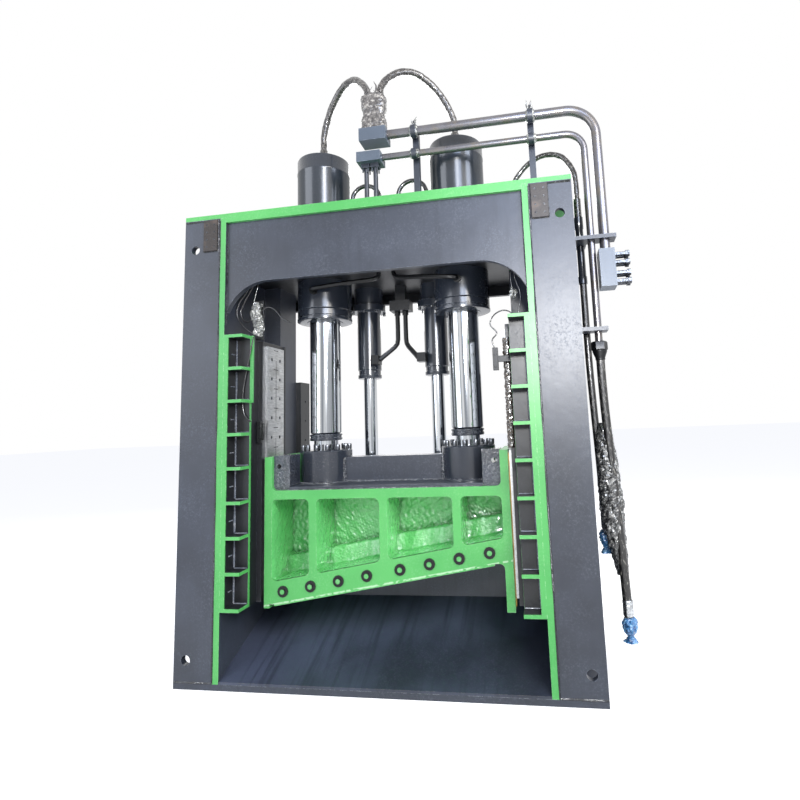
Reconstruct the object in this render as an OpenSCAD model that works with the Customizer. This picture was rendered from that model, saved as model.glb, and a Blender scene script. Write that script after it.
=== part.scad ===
// Shear head of a hydraulic gantry shear for scrap metal: a portal frame welded from plate,
// a ram with a raked upper knife, and a clamp beam behind it. Two main cylinders drive the ram,
// two small ones the clamp, and pipes and hoses along the top and right side feed them.
// Millimetres, +Z up. The origin is the middle of the base plate's underside. The front,
// where the cut pieces slide out, faces -Y, and scrap is fed in from the back.

/* [Frame] */
// Width over both columns
frame_w = 2580; // [2500:10:2700]
// Height to the top of the top plate
frame_h = 3000; // [2960:10:3100]
// Depth from the front to the back of the columns
frame_d = 1000; // [990:5:1060]
// Clear width between the side walls
bay_w = 1980; // [1960:5:2020]
// Thickness of the side walls
wall_t = 40; // [30:1:50]
// Thickness of the base plate
base_t = 36; // [25:1:45]
// Thickness of the top plate
top_t = 30; // [20:1:40]
// Thickness of the doubler under the top plate
doubler_t = 32; // [20:1:40]
// Thickness of the front and rear column plates
column_t = 40; // [30:1:50]
// Thickness of the gussets between the column plates
gusset_t = 25; // [15:1:35]
// Number of gussets in each column
gusset_count = 6; // [4:1:8]
// Diameter of the lifting holes
lift_bore = 60; // [40:1:80]
// Lifting holes, centre to the outer edge
lift_inset = 80; // [60:1:110]
// Lower lifting holes, height of the centre
lift_low = 165; // [130:1:220]
// Upper lifting holes, centre below the top
lift_drop = 237; // [200:1:300]

/* [Upper beam] */
// Height of the beam at midspan
beam_h = 480; // [450:5:490]
// Width of the beam's rounded corners, wall to the straight lower edge
arch_in = 290; // [280:5:300]
// Radius of the beam's lower corners
arch_r = 313; // [300:1:340]
// Thickness of the beam plates
beam_t = 40; // [30:1:50]
// How far the front beam plate sits back
beam_set = 22; // [10:1:40]
// Height of the cylinder web above the beam's lower edge
web_rise = 80; // [70:1:100]
// Thickness of the cylinder web
web_t = 40; // [30:1:50]

/* [Guides] */
// Number of ribs that back each guide rail
rib_count = 9; // [7:1:9]
// Centre of the highest rib below the top of the frame
rib_drop = 841; // [835:1:980]
// Height of the lowest rib
rib_low = 455; // [445:1:470]
// Thickness of the ribs
rib_t = 20; // [12:1:25]
// Depth of the ribs
rib_d = 100; // [80:1:110]
// Width of the rails, wall to inner face
rail_w = 128; // [120:1:134]
// Depth of the rails
rail_d = 100; // [80:1:105]
// Thickness of the wear liners
liner_t = 18; // [12:1:24]
// Width of the wear liners
liner_w = 222; // [200:1:230]
// Top of the guide channels below the top of the frame
guide_drop = 855; // [845:5:900]
// Thickness of the guide channels' steel
channel_t = 30; // [20:1:34]

/* [Chute and table] */
// Height of the table that carries the scrap
table_h = 700; // [690:1:720]
// Height of the chute's upper edge
chute_h = 340; // [300:5:360]
// Height of the chute's lip above the base plate
lip_h = 14; // [8:1:20]
// Thickness of the chute plate
chute_t = 20; // [12:1:24]
// Knife section, thickness
knife_t = 35; // [28:1:40]
// Knife section, height
knife_h = 100; // [90:1:110]
// Number of bolts in a knife
knife_bolts = 8; // [8:2:8]
// Gap between the knives' shearing faces
knife_gap = 1.5; // [1:0.1:3]

/* [Ram] */
// Width of the guide channels, wall to the liner
guide_w = 160; // [156:1:170]
// Rear face of the clamp beam before the back of the frame
rear_room = 112; // [104:1:130]
// Ram's front face behind the frame's front
ram_set = 195; // [190:1:205]
// Height of the ram's feet above the floor at rest
ram_low = 408; // [400:1:420]
// Height of the ram's top flange above its feet
ram_h = 734; // [725:1:745]
// Height of the ears above the flange
ear_h = 218; // [200:1:225]
// Rake of the upper knife, degrees
rake = 10; // [9:0.1:10]
// Thickness of the ram's ribs, ears and legs
ram_rib = 51; // [44:1:56]
// Thickness of the ram's top flange
ram_flange = 57; // [45:1:65]
// Depth of the ram's pockets
pocket_d = 300; // [240:5:320]
// Lower edge of the ram to the pocket floors
band_h = 150; // [145:1:160]
// Stroke of the ram
ram_stroke = 760; // [700:5:765]

/* [Main cylinders] */
// Distance of a main cylinder from the middle
main_x = 517; // [505:1:520]
// Outer radius of the barrel
main_r = 196; // [190:1:200]
// Bore radius of the barrel
main_bore = 160; // [150:1:168]
// Radius of the chromed rod
main_rod = 110; // [100:1:116]
// Underside of the gland below the top of the frame
main_drop = 695; // [690:1:705]
// Height of the gland
gland_h = 80; // [60:1:90]
// Height of the piston
piston_h = 150; // [120:5:160]
// Outer radius of the rod sockets
socket_r = 184; // [178:1:186]
// Height of the rod sockets
socket_h = 222; // [210:1:225]
// Screws in each socket ring
socket_screws = 14; // [10:2:16]

/* [Clamp] */
// Distance of a clamp cylinder from the middle
clamp_x = 266; // [260:1:270]
// Outer radius of the clamp barrel
clamp_r = 90; // [84:1:92]
// Bore radius of the clamp barrel
clamp_bore = 70; // [62:1:74]
// Radius of the clamp rod
clamp_rod = 50; // [44:1:54]
// Underside of the clamp cylinders below the top of the frame
clamp_drop = 1102; // [1090:1:1104]
// Width of the clamp's guide channels, wall to their faces
clamp_guide_w = 170; // [160:1:180]
// Depth of the clamp beam
clamp_d = 170; // [160:1:176]
// Height of the clamp beam with its pads
clamp_h = 450; // [420:5:450]
// Stroke of the clamp
clamp_stroke = 500; // [400:10:520]

/* [Pipes and hoses] */
// Radius of the upper pipe
pipe_r = 32; // [24:1:34]
// Radius of the lower pipe
small_r = 23; // [18:1:27]
// Height of the upper pipe above the frame
pipe_rise = 548; // [530:1:570]
// Height of the lower pipe above the frame
small_rise = 385; // [370:1:400]
// Upper pipe's drop, distance from the column
pipe_out = 197; // [190:1:210]
// Lower pipe's drop, distance from the column
small_out = 115; // [108:1:122]
// Outer radius of the top hoses
hose_r = 24; // [20:1:26]

/* [Hidden] */
$fn = 14;
fine = 24;
plain = 12;
head_sides = 8;
tube_sides = 8;
thin_sides = 6;
pipe_sides = 12;
corner_steps = 3;
green = "#55b85a";
dark = "#39404c";
black = "#15171a";
steel = "#a9adb1";
chrome = "#d5d9dc";
rusty = "#4b3a33";
film = "#3c6fa8";
bronze = "#9a7a3c";

// Clearances: a seat between fixed pieces, a running gap and the overrun of a cut
seat = 0.3;
run_gap = 0.5;
over = 2;

// Planes of the frame
x_wall = bay_w / 2;
arch_half = x_wall - arch_in;
x_out = frame_w / 2;
y_front = -frame_d / 2;
y_rear = frame_d / 2;
z_top = frame_h;
z_under = frame_h - top_t;
z_doubler = z_under - doubler_t;
z_arch = frame_h - beam_h;
z_web = z_arch + web_rise;
x_web = x_wall + wall_t;

// Guides, on the right side
x_rail = x_wall - rail_w;
y_rail = y_front + rib_d;
rib_pitch = (z_top - rib_drop - rib_low) / (rib_count - 1);
z_rib_top = rib_low + (rib_count - 1) * rib_pitch + rib_t / 2;
z_rib_low = rib_low - rib_t / 2;
shoe_t = 5.5;
x_guide = x_wall - guide_w;
x_liner = x_guide - liner_t;
ram_half = x_liner - run_gap - shoe_t;
y_guide = y_rail + rail_d;
liner_set = 38;
guide_end = 22;
key_d = 20;
key_w = 12;
guide_margin = 30;
y_guide_end = y_guide + liner_set + liner_w + guide_end + key_d;
z_guide_top = z_top - guide_drop;
liner_h = z_guide_top - z_rib_low - 2 * guide_margin;
strip_w = 20;
strip_d = 14;
bar_t = 30;
screw_tap_r = 9.3;
liner_rows = 12;
liner_row_shares = [0.25, 0.75];
liner_head_r = 14;
liner_head_t = 8;
oil_w = 6;
oil_d = 3;
liner_row_pitch = (liner_h - rib_t) / liner_rows;

// Ram
y_ram = y_front + ram_set;
clamp_gap = 33;
clamp_in = 67;
y_clamp = y_rear - rear_room - clamp_d;
clamp_y = y_clamp + clamp_in;
y_shear = y_clamp - clamp_gap;
ram_d = y_shear - y_ram;
z_flange = ram_low + ram_h;
z_ear = z_flange + ear_h;
foot_w = 37;
notch_w = 33;
foot_step = 13;
notch_h = 12;
fillet_r = 30;
pocket_r = 30;
ledge_h = 105;
ledge_d = 70;
bolt_up = 80;
tip_w = 62;
x_edge0 = -ram_half + foot_w + notch_w;
x_edge1 = ram_half - ram_rib - tip_w;
bolt_ring_r = 36;
bolt_ring_t = 14;
bolt_head_r = 17;
bolt_shank_r = 15;
bolt_inset = 62;
bolt_end = 27;
bolt_gap = 29;
bolt_span = (x_edge1 - x_edge0 - bolt_inset - bolt_end - bolt_gap) / (knife_bolts - 1);
shoe_margin = 22;

// Knives
y_knife = y_shear + knife_gap;
low_bolt_r = 14;
low_head_r = 21;
low_head_t = 12;
low_bolt_len = 80;
beam_wall = 60;
table_t = 50;
table_ribs = 6;

// Saddle, lugs and sockets on top of the ram
saddle_t = 20;
saddle_set = 15;
z_saddle = z_flange + saddle_t;
lug_w = 112;
lug_d = 150;
lug_h = 224;
lug_set = 25;
lug_hole = 16;
lug_hole_drop = 70;
lug_play = 1;
tie_h = 168;
tie_d = 150;
cylinder_step = 257;
main_y = clamp_y - cylinder_step;
z_socket = z_saddle + socket_h;
ring_h = 44;
foot_r = 117;
foot_h = 145;
neck_r = 86;
neck_top = 66;
groove_d = 6;
screw_r = 16;
screw_h = 36;
screw_inset = 20;

// Main cylinders
z_gland = z_top - main_drop;
cap_h = 110;
piston_gap = 30;
cushion_h = 65;
z_piston = z_gland + gland_h + piston_gap;
nut_r = 95;
nut_h = 60;
z_main_top = z_piston + piston_h + nut_h + ram_stroke + cushion_h + cap_h;
port_r = 20;
port_h = 26;

// Clamp
z_clamp = table_h + seat;
z_clamp_top = z_clamp + clamp_h;
pad_h = 40;
tooth_count = 8;
tooth_h = 8;
clamp_wall = 40;
clamp_shoe_h = 330;
clamp_shoe_d = 120;
clamp_shoe_in = 30;
clamp_seat_d = 150;
collar_r = 74;
clamp_collar_h = 40;
z_clamp_cyl = z_top - clamp_drop;
clamp_gland_h = 62;
clamp_flange_r = 135;
clamp_flange_t = 55;
clamp_spacer_r = 112;
clamp_flange_drop = 103;
clamp_cap = 60;
clamp_piston_h = 70;
clamp_cushion = 178;
z_clamp_piston = z_clamp_cyl + clamp_gland_h + piston_gap;
z_clamp_head = z_clamp_piston + clamp_piston_h + clamp_stroke + clamp_cushion + clamp_cap;
port_up = 130;
port_in = 88;
port_block_w = 62;
port_block_h = 66;
port_block_d = 44;
clamp_shoe_t = 44;
x_clamp_guide = x_wall - clamp_guide_w;
clamp_w = 2 * (x_clamp_guide - run_gap - clamp_shoe_t);
clamp_guide_h = 1200;
guide_rows = 8;
clamp_bay_count = 6;
flange_bolts = 6;
flange_bolt_r = 10;
flange_bolt_h = 16;

// Pipes: the plane in which the steel pipes run, and their fittings
pipe_back = 225;
pipe_y = y_front + pipe_back;
upper_bend = 190;
small_bend = 120;
block_d = 130;
upper_block_w = 190;
upper_block_h = 92;
upper_block_x = -8;
upper_block_up = 8;
lower_block_w = 168;
lower_block_h = 72;
lower_block_x = -39;
small_drop = 7;
wrap_w = 178;
wrap_d = 110;
wrap_waist_h = 120;
wrap_h = 284;
wrap_waist = 0.88;
hose_in = 48;
z_block = z_top + pipe_rise - upper_block_up + upper_block_h / 2;
z_wrap = z_block + wrap_h;
post_w = 42;
post_x = [275, 1072];
clip_t = 14;
clip_w = 34;
side_drop = 358;
side_z = z_top - side_drop;
coupling_drop = 1000;
coupling_z = z_top - coupling_drop;
coupling_h = 120;
coupling_r = 50;
side_block_w = 95;
side_block_h = 240;
side_block_drop = 670;
side_block_z = z_top - side_block_drop;
stud_r = 14;
stud_len = 90;
stud_nut_r = 21;
stud_nut_h = 24;
stud_pitch = 52;
ferrule_r = 30;
ferrule_h = 90;
bracket_t = 24;
bracket_d = 110;

// Hoses between two fittings: where they are along the way, and how far above the straight line
left_hose_shares = [0, 0, 0.03, 0.1, 0.2, 0.33, 0.5, 0.7, 0.86, 0.96, 1, 1];
left_hose_rises = [0, 80, 148, 210, 265, 298, 307, 260, 167, 80, 30, 0];
right_hose_shares = [0, 0, 0.03, 0.1, 0.2, 0.34, 0.5, 0.66, 0.8, 0.92, 0.98, 1, 1];
right_hose_rises = [0, 80, 136, 200, 259, 300, 313, 279, 217, 130, 62, 25, 0];
side_hose_shares = [0, 0.02, 0.14, 0.36, 0.6, 0.83, 0.97, 1, 1];
side_hose_rises = [0, 70, 180, 280, 325, 300, 205, 110, 0];
clamp_pipe_shares = [0, 0, 0, 0.05, 0.4, 0.85, 1];
clamp_pipe_rises = [0, -60, -170, -230, -150, -35, 0];
head_pipe_shares = [0, 0.02, 0.1, 0.3, 0.55, 0.8, 0.95, 1, 1];
head_pipe_rises = [0, -24, -36, -32, -22, -12, -4, -1, 0];
head_pipe_outs = [0, 0, -10, -35, -55, -58, -50, -30, 0];

// Points of the free hoses: they leave their fittings straight down and hang
long_x = x_out + small_out;
long_y = pipe_y;
long_route = [[long_x, long_y, 1880], [long_x, long_y, 1780], [1408, -276, 1600],
    [1415, -280, 1400], [1424, -286, 1150], [1434, -293, 900], [1442, -299, 650],
    [1448, -303, 400]];
side_out = 55;
side_back = 95;
side_x = x_out + side_out;
side_y = pipe_y + side_back;
side_hose_x = 900;
side_hose_y = -60;
side_stub = 60;
side_ferrule_h = 130;
side_hose_drop = 25;
z_side_hose = z_top - side_hose_drop;
small_hose_r = 18;
short_route = [[side_x, side_y, 2390], [side_x, side_y, 2290], [1344, -182, 2100],
    [1345, -190, 1850], [1350, -200, 1600], [1358, -212, 1300], [1366, -222, 870]];
free_r = 26;
short_r = 22;
cap_len = 140;
cap_r = 52;

function unit(v) = v / norm(v);
function edge_z(x) = ram_low + foot_step + (x - x_edge0) * tan(rake);

// Outline with rounded corners: each corner's arc has the radius given for it
function rounded(points, radii, steps) = [
    for (i = [0 : len(points) - 1])
        let (
            n = len(points),
            b = points[i],
            u = unit(points[(i + n - 1) % n] - b),
            v = unit(points[(i + 1) % n] - b),
            half = acos(u * v) / 2,
            c = b + unit(u + v) * radii[i] / sin(half),
            p = b + u * radii[i] / tan(half) - c,
            q = b + v * radii[i] / tan(half) - c,
            turn = 180 - 2 * half
        )
        for (k = [0 : radii[i] == 0 ? 0 : steps])
            radii[i] == 0 ? b : c + (p * sin((steps - k) / steps * turn)
                + q * sin(k / steps * turn)) / sin(turn)
];

// Smooth curve through the points of a route, cut into steps between each two
function spline(p, steps) = concat([
    for (i = [0 : len(p) - 2]) for (k = [0 : steps - 1])
        let (
            t = k / steps,
            a = p[max(i - 1, 0)],
            b = p[i],
            c = p[i + 1],
            d = p[min(i + 2, len(p) - 1)]
        )
        b + ((c - a) * t + (2 * a - 5 * b + 4 * c - d) * t * t
            + (3 * b - 3 * c + d - a) * t * t * t) / 2
], [p[len(p) - 1]]);

// Points from a to b, each at its share of the way and raised by its rise
function route(a, b, shares, rises) = [
    for (i = [0 : len(shares) - 1]) a + (b - a) * shares[i] + [0, 0, rises[i]]
];

module both() {
    children();
    mirror([1, 0, 0]) children();
}

module block(low, high) {
    translate(low) cube(high - low);
}

// Plate whose outline is given in X and Z, from y0 to y1
module plate_xz(points, y0, y1) {
    translate([0, y1, 0]) rotate([90, 0, 0]) linear_extrude(y1 - y0) polygon(points);
}

// Bar whose outline is given in Y and Z, from x0 to x1
module bar_yz(points, x0, x1) {
    translate([x0, 0, 0]) rotate([90, 0, 90]) linear_extrude(x1 - x0) polygon(points);
}

module bore_y(x, z, r, y0, y1, sides = plain) {
    translate([x, y0, z]) rotate([-90, 0, 0]) cylinder(h = y1 - y0, r = r, $fn = sides);
}

module ring(r_out, r_in, h) {
    difference() {
        cylinder(h = h, r = r_out);
        translate([0, 0, -over]) cylinder(h = h + 2 * over, r = r_in);
    }
}

module around(count, r) {
    for (i = [0 : count - 1]) rotate([0, 0, (i + 1 / 2) * 360 / count])
        translate([r, 0, 0]) children();
}

// Round tube swept along a path that never runs along the side direction. Where an end stands
// or hangs on a level face, its last ring lies level too.
module sweep(path, r, sides, level = [false, false], side = [0, 1, 0]) {
    n = len(path);
    rings = [for (i = [0 : n - 1])
        let (
            d = unit(path[min(i + 1, n - 1)] - path[max(i - 1, 0)]),
            t = (level[0] && i == 0) || (level[1] && i == n - 1) ? [0, 0, sign(d[2])] : d,
            u = unit(cross(side, t)),
            w = cross(t, u)
        )
        for (k = [0 : sides - 1])
            path[i] + r * (u * cos(k * 360 / sides) + w * sin(k * 360 / sides))
    ];
    sheath = [for (i = [0 : n - 2]) for (k = [0 : sides - 1])
        let (m = (k + 1) % sides)
        [i * sides + k, (i + 1) * sides + k, (i + 1) * sides + m, i * sides + m]
    ];
    polyhedron(concat(rings), concat(
        sheath,
        [[for (k = [0 : sides - 1]) k]],
        [[for (k = [0 : sides - 1]) n * sides - 1 - k]]
    ), convexity = 8);
}

module base_plate() {
    color(dark) block([-x_out, y_front, 0], [x_out, y_rear, base_t]);
}

module side_walls() {
    color(dark) both() block([x_wall, y_front, base_t], [x_web, y_rear, z_under]);
}

// Front and rear plates with the lifting holes, and the gussets between them
module column() {
    pitch = (z_under - base_t) / (gusset_count + 1);
    color(dark) difference() {
        union() {
            block([x_web, y_front, base_t], [x_out, y_front + column_t, z_under]);
            block([x_web, y_rear - column_t, base_t], [x_out, y_rear, z_under]);
            for (i = [1 : gusset_count])
                block([x_web, y_front + column_t, base_t + i * pitch - gusset_t / 2],
                    [x_out - gusset_t, y_rear - column_t, base_t + i * pitch + gusset_t / 2]);
        }
        for (z = [lift_low, z_top - lift_drop]) for (y = [y_front, y_rear - column_t])
            bore_y(x_out - lift_inset, z, lift_bore / 2, y - over, y + column_t + over, $fn);
    }
}

module left_column() { mirror([1, 0, 0]) column(); }
module right_column() { column(); }

// Comb of ribs that backs the guide rail, with the rail itself behind them
module guide_ribs() {
    for (i = [0 : rib_count - 1])
        block([x_rail, y_front, rib_low + i * rib_pitch - rib_t / 2],
            [x_wall, y_rail, rib_low + i * rib_pitch + rib_t / 2]);
    block([x_rail, y_rail, z_rib_low], [x_wall, y_guide, z_rib_top]);
    block([x_wall - bar_t, y_front, z_rib_low], [x_wall, y_rail, z_rib_top]);
}

module left_guide_ribs() {
    color(green) mirror([1, 0, 0]) {
        guide_ribs();
        block([x_rail - strip_w, y_rail, z_rib_top - 2 * rib_pitch - rib_t],
            [x_rail, y_rail + strip_d, z_rib_top]);
    }
}

module right_guide_ribs() { color(green) guide_ribs(); }

// Channel that carries the wear liner, with a key along its rear edge
module ram_guide() {
    y0 = y_guide;
    y1 = y_guide_end;
    color(dark) translate([0, 0, z_rib_low]) linear_extrude(z_guide_top - z_rib_low) polygon([
        [x_guide, y0], [x_wall, y0], [x_wall, y0 + channel_t], [x_guide + channel_t, y0 + channel_t],
        [x_guide + channel_t, y1 - channel_t - key_d], [x_wall, y1 - channel_t - key_d],
        [x_wall, y1], [x_guide - key_w, y1], [x_guide - key_w, y1 - key_d],
        [x_guide, y1 - key_d]
    ]);
}

module liner_places() {
    for (i = [0 : liner_rows - 1]) for (y = liner_row_shares)
        translate([x_liner, y_guide + liner_set + liner_w * y,
            z_rib_low + guide_margin + (i + 1 / 2) * liner_row_pitch])
            rotate([0, 90, 0]) children();
}

module left_ram_guide() { mirror([1, 0, 0]) ram_guide(); }
module right_ram_guide() { ram_guide(); }

// Wear plate with the counterbores of its screws and oil grooves
module liner() {
    y0 = y_guide + liner_set;
    z0 = z_rib_low + guide_margin;
    color(steel) difference() {
        block([x_liner, y0, z0], [x_guide, y0 + liner_w, z0 + liner_h]);
        liner_places() translate([0, 0, -over])
            cylinder(h = liner_head_t + over, r = liner_head_r, $fn = thin_sides);
        block([x_liner - over, y0 + liner_w / 2 - oil_w / 2, z0 + liner_row_pitch / 2],
            [x_liner + oil_d, y0 + liner_w / 2 + oil_w / 2, z0 + liner_h - liner_row_pitch / 2]);
        for (i = [1 : liner_rows - 1])
            block([x_liner - over, y0 + liner_w / 6, z0 + i * liner_row_pitch - oil_w / 2],
                [x_liner + oil_d, y0 + liner_w * 5 / 6, z0 + i * liner_row_pitch + oil_w / 2]);
    }
}

module left_liner() { mirror([1, 0, 0]) liner(); }
module right_liner() { liner(); }

// Boxes that line the walls between the ram's guides and the clamp's
module cheek_boxes() {
    y0 = y_guide_end;
    y1 = y_clamp + clamp_shoe_in;
    color(dark) both() translate([0, 0, table_h]) linear_extrude(z_web - table_h) polygon([
        [x_rail, y0], [x_wall, y0], [x_wall, y0 + channel_t], [x_rail + channel_t, y0 + channel_t],
        [x_rail + channel_t, y1 - channel_t], [x_wall, y1 - channel_t], [x_wall, y1], [x_rail, y1]
    ]);
}

// Channels on the table that guide the clamp's ends
module clamp_guides() {
    y0 = y_clamp + clamp_shoe_in;
    y1 = y0 + clamp_shoe_d + channel_t;
    color(dark) both() difference() {
        translate([0, 0, table_h]) linear_extrude(clamp_guide_h) polygon([
            [x_clamp_guide, y0], [x_wall, y0], [x_wall, y0 + channel_t],
            [x_clamp_guide + channel_t, y0 + channel_t],
            [x_clamp_guide + channel_t, y1 - channel_t], [x_wall, y1 - channel_t], [x_wall, y1],
            [x_clamp_guide, y1]
        ]);
        for (i = [1 : guide_rows - 1]) translate([x_clamp_guide - over, (y0 + y1) / 2,
            table_h + i * clamp_guide_h / guide_rows]) rotate([0, 90, 0])
            cylinder(h = channel_t + 2 * over, r = screw_tap_r, $fn = thin_sides);
    }
}

// Top plate with its doubler, bored for the main cylinders
module top_plate() {
    color(green) difference() {
        union() {
            block([-x_out, y_front, z_under], [x_out, y_rear, z_top]);
            block([-x_wall, y_front, z_doubler], [x_wall, y_rear, z_under]);
        }
        both() translate([main_x, main_y, z_doubler - over])
            cylinder(h = top_t + doubler_t + 2 * over, r = main_r + seat);
    }
}

// Beam plate: straight lower edge that runs into the walls in two arcs
function arch_drop() = arch_r - sqrt(pow(arch_r, 2) - pow(arch_in, 2));
function arch_line() = [
    for (i = [0 : arch_steps]) let (a = i / arch_steps * asin(arch_in / arch_r))
        [arch_half + arch_r * sin(a), z_arch - arch_r + arch_r * cos(a)]
];
arch_steps = 12;

module beam_plate(y0) {
    half = arch_line();
    left = [for (i = [arch_steps : -1 : 0]) [-half[i][0], half[i][1]]];
    plate_xz(concat(left, half, [[x_wall, z_doubler], [-x_wall, z_doubler]]), y0, y0 + beam_t);
}

module front_beam() { color(dark) beam_plate(y_front + beam_set); }

module rear_beam() {
    color(dark) block([-x_wall, y_rear - beam_t, z_arch], [x_wall, y_rear, z_doubler]);
}

// Web that the cylinders hang from
module cylinder_web() {
    y0 = y_front + beam_set + beam_t;
    color(dark) difference() {
        block([-x_wall, y0, z_web], [x_wall, y_rear - beam_t, z_web + web_t]);
        both() {
            translate([main_x, main_y, z_web - over])
                cylinder(h = web_t + 2 * over, r = main_r + seat);
            translate([clamp_x, clamp_y, z_web - over])
                cylinder(h = web_t + 2 * over, r = clamp_r + seat);
        }
    }
}

module beam_diaphragms() {
    y0 = y_front + beam_set + beam_t;
    color(dark) both() for (x = [diaphragm_in, x_wall - diaphragm_out])
        block([x, y0, z_web + web_t], [x + gusset_t, y_rear - beam_t, z_doubler]);
}
diaphragm_in = 110;
diaphragm_out = 200;

// Table beam across the frame: carries the lower knife, open underneath
module knife_beam() {
    y0 = y_knife;
    bay = (bay_w - (table_ribs + 1) * gusset_t) / table_ribs;
    color(dark) difference() {
        bar_yz([[y0, base_t], [y0, table_h - knife_h], [y0 + knife_t, table_h - knife_h],
            [y0 + knife_t, table_h], [y_rear, table_h], [y_rear, base_t]], -x_wall, x_wall);
        for (i = [0 : table_ribs - 1]) let (x = -x_wall + gusset_t + i * (bay + gusset_t))
            block([x, y0 + knife_t + beam_wall, base_t - over],
                [x + bay, y_rear + over, table_h - table_t]);
        knife_places() bore_y(0, 0, low_bolt_r + seat, y0 - over,
            y0 + low_bolt_len + seat, head_sides);
    }
}

module knife_places() {
    pitch = 2 * x_rail / knife_bolts;
    for (i = [0 : knife_bolts - 1])
        translate([-x_rail + (i + 1 / 2) * pitch, 0, table_h - knife_h / 2]) children();
}

module lower_knife() {
    color(steel) difference() {
        block([-x_wall, y_knife, table_h - knife_h], [x_wall, y_knife + knife_t, table_h]);
        knife_places() {
            bore_y(0, 0, low_bolt_r + seat, y_knife - over, y_knife + knife_t + over, head_sides);
            bore_y(0, 0, low_head_r + seat, y_knife - over, y_knife + low_head_t, head_sides);
        }
    }
}

module lower_knife_bolts() {
    color(black) knife_places() {
        bore_y(0, 0, low_head_r, y_knife + seat, y_knife + low_head_t, head_sides);
        bore_y(0, 0, low_bolt_r, y_knife + low_head_t, y_knife + low_bolt_len, head_sides);
    }
}

// Sloping discharge plate on three ribs
module chute() {
    z_lip = base_t + lip_h;
    slope = (chute_h - z_lip) / (y_knife - y_front);
    drop = chute_t * sqrt(1 + slope * slope);
    y_toe = y_front + (drop - lip_h) / slope;
    color(dark) {
        bar_yz([[y_front, base_t], [y_front, z_lip], [y_knife, chute_h],
            [y_knife, chute_h - drop], [y_toe, base_t]], -x_wall, x_wall);
        for (i = [-1 : 1])
            bar_yz([[y_toe, base_t], [y_knife, base_t], [y_knife, chute_h - drop / 2]],
                i * bay_w / 3 - gusset_t / 2, i * bay_w / 3 + gusset_t / 2);
    }
}

// Rusty plates welded high on the front of the columns
pad_w = 100;
pad_len = 213;
pad_t = 12;
pad_inset = 15;

module corner_pads() {
    x0 = x_web + pad_inset;
    z1 = z_under - pad_t;
    color(rusty) both() block([x0, y_front - pad_t, z1 - pad_len], [x0 + pad_w, y_front, z1]);
}

// Main cylinder barrel: tube with a closed head, bored for the piston
module main_barrel() {
    z0 = z_gland + gland_h;
    color(dark) translate([main_x, main_y, 0]) difference() {
        union() {
            translate([0, 0, z0]) cylinder(h = z_main_top - z0, r = main_r, $fn = fine);
            translate([0, 0, z_main_top]) cylinder(h = port_h, r = port_r + pad_t);
        }
        translate([0, 0, z0 - over])
            cylinder(h = z_main_top - cap_h - z0 + over, r = main_bore, $fn = fine);
        translate([0, 0, z_main_top - cap_h - over])
            cylinder(h = cap_h + port_h + 2 * over, r = port_r);
    }
}

module left_main_barrel() { mirror([1, 0, 0]) main_barrel(); }
module right_main_barrel() { main_barrel(); }

module main_glands() {
    spigot_h = piston_gap - over;
    color(dark) both() translate([main_x, main_y, z_gland]) difference() {
        union() {
            cylinder(h = gland_h, r = main_r, $fn = fine);
            cylinder(h = gland_h + spigot_h, r = main_bore - seat, $fn = fine);
        }
        translate([0, 0, -over])
            cylinder(h = gland_h + spigot_h + 2 * over, r = main_rod + run_gap, $fn = fine);
    }
}

module clamp_barrels() {
    z0 = z_clamp_cyl + clamp_gland_h;
    z1 = z_clamp_head;
    z_flange_low = z_web - clamp_flange_drop - clamp_flange_t - web_gap;
    color(dark) both() translate([clamp_x, clamp_y, 0]) difference() {
        union() {
            translate([0, 0, z0]) cylinder(h = z1 - z0, r = clamp_r);
            translate([0, 0, z_flange_low]) cylinder(h = clamp_flange_t, r = clamp_flange_r);
            translate([0, 0, z_flange_low]) cylinder(h = z_web - z_flange_low, r = clamp_spacer_r);
            around(flange_bolts, clamp_flange_r - flange_bolt_r - over)
                translate([0, 0, z_flange_low - flange_bolt_h])
                cylinder(h = flange_bolt_h + over, r = flange_bolt_r, $fn = 6);
        }
        translate([0, 0, z0 - over]) cylinder(h = z1 - z0 - clamp_cap + over, r = clamp_bore);
    }
}
web_gap = 25;

module clamp_glands() {
    color(dark) both() translate([clamp_x, clamp_y, z_clamp_cyl]) difference() {
        union() {
            cylinder(h = clamp_gland_h, r = clamp_r - groove_d);
            cylinder(h = clamp_gland_h + piston_gap - over, r = clamp_bore - seat);
        }
        translate([0, 0, -over])
            cylinder(h = clamp_gland_h + piston_gap + 2 * over, r = clamp_rod + run_gap);
    }
}

// Oil manifold under the web, between the clamp cylinders
manifold_w = 156;
manifold_h = 77;
manifold_d = 110;
manifold_x = 14;
manifold_drop = 125;
manifold_in = 60;
manifold_y = clamp_y - manifold_in;
clamp_pipe_r = 18;

module centre_manifold() {
    z1 = z_web - manifold_drop;
    color(dark) {
        block([manifold_x - manifold_w / 2, manifold_y - manifold_d / 2, z1 - manifold_h],
            [manifold_x + manifold_w / 2, manifold_y + manifold_d / 2, z1]);
        block([manifold_x - manifold_w / 4, manifold_y - manifold_d / 4, z1],
            [manifold_x + manifold_w / 4, manifold_y + manifold_d / 4, z_web]);
    }
}

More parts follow.
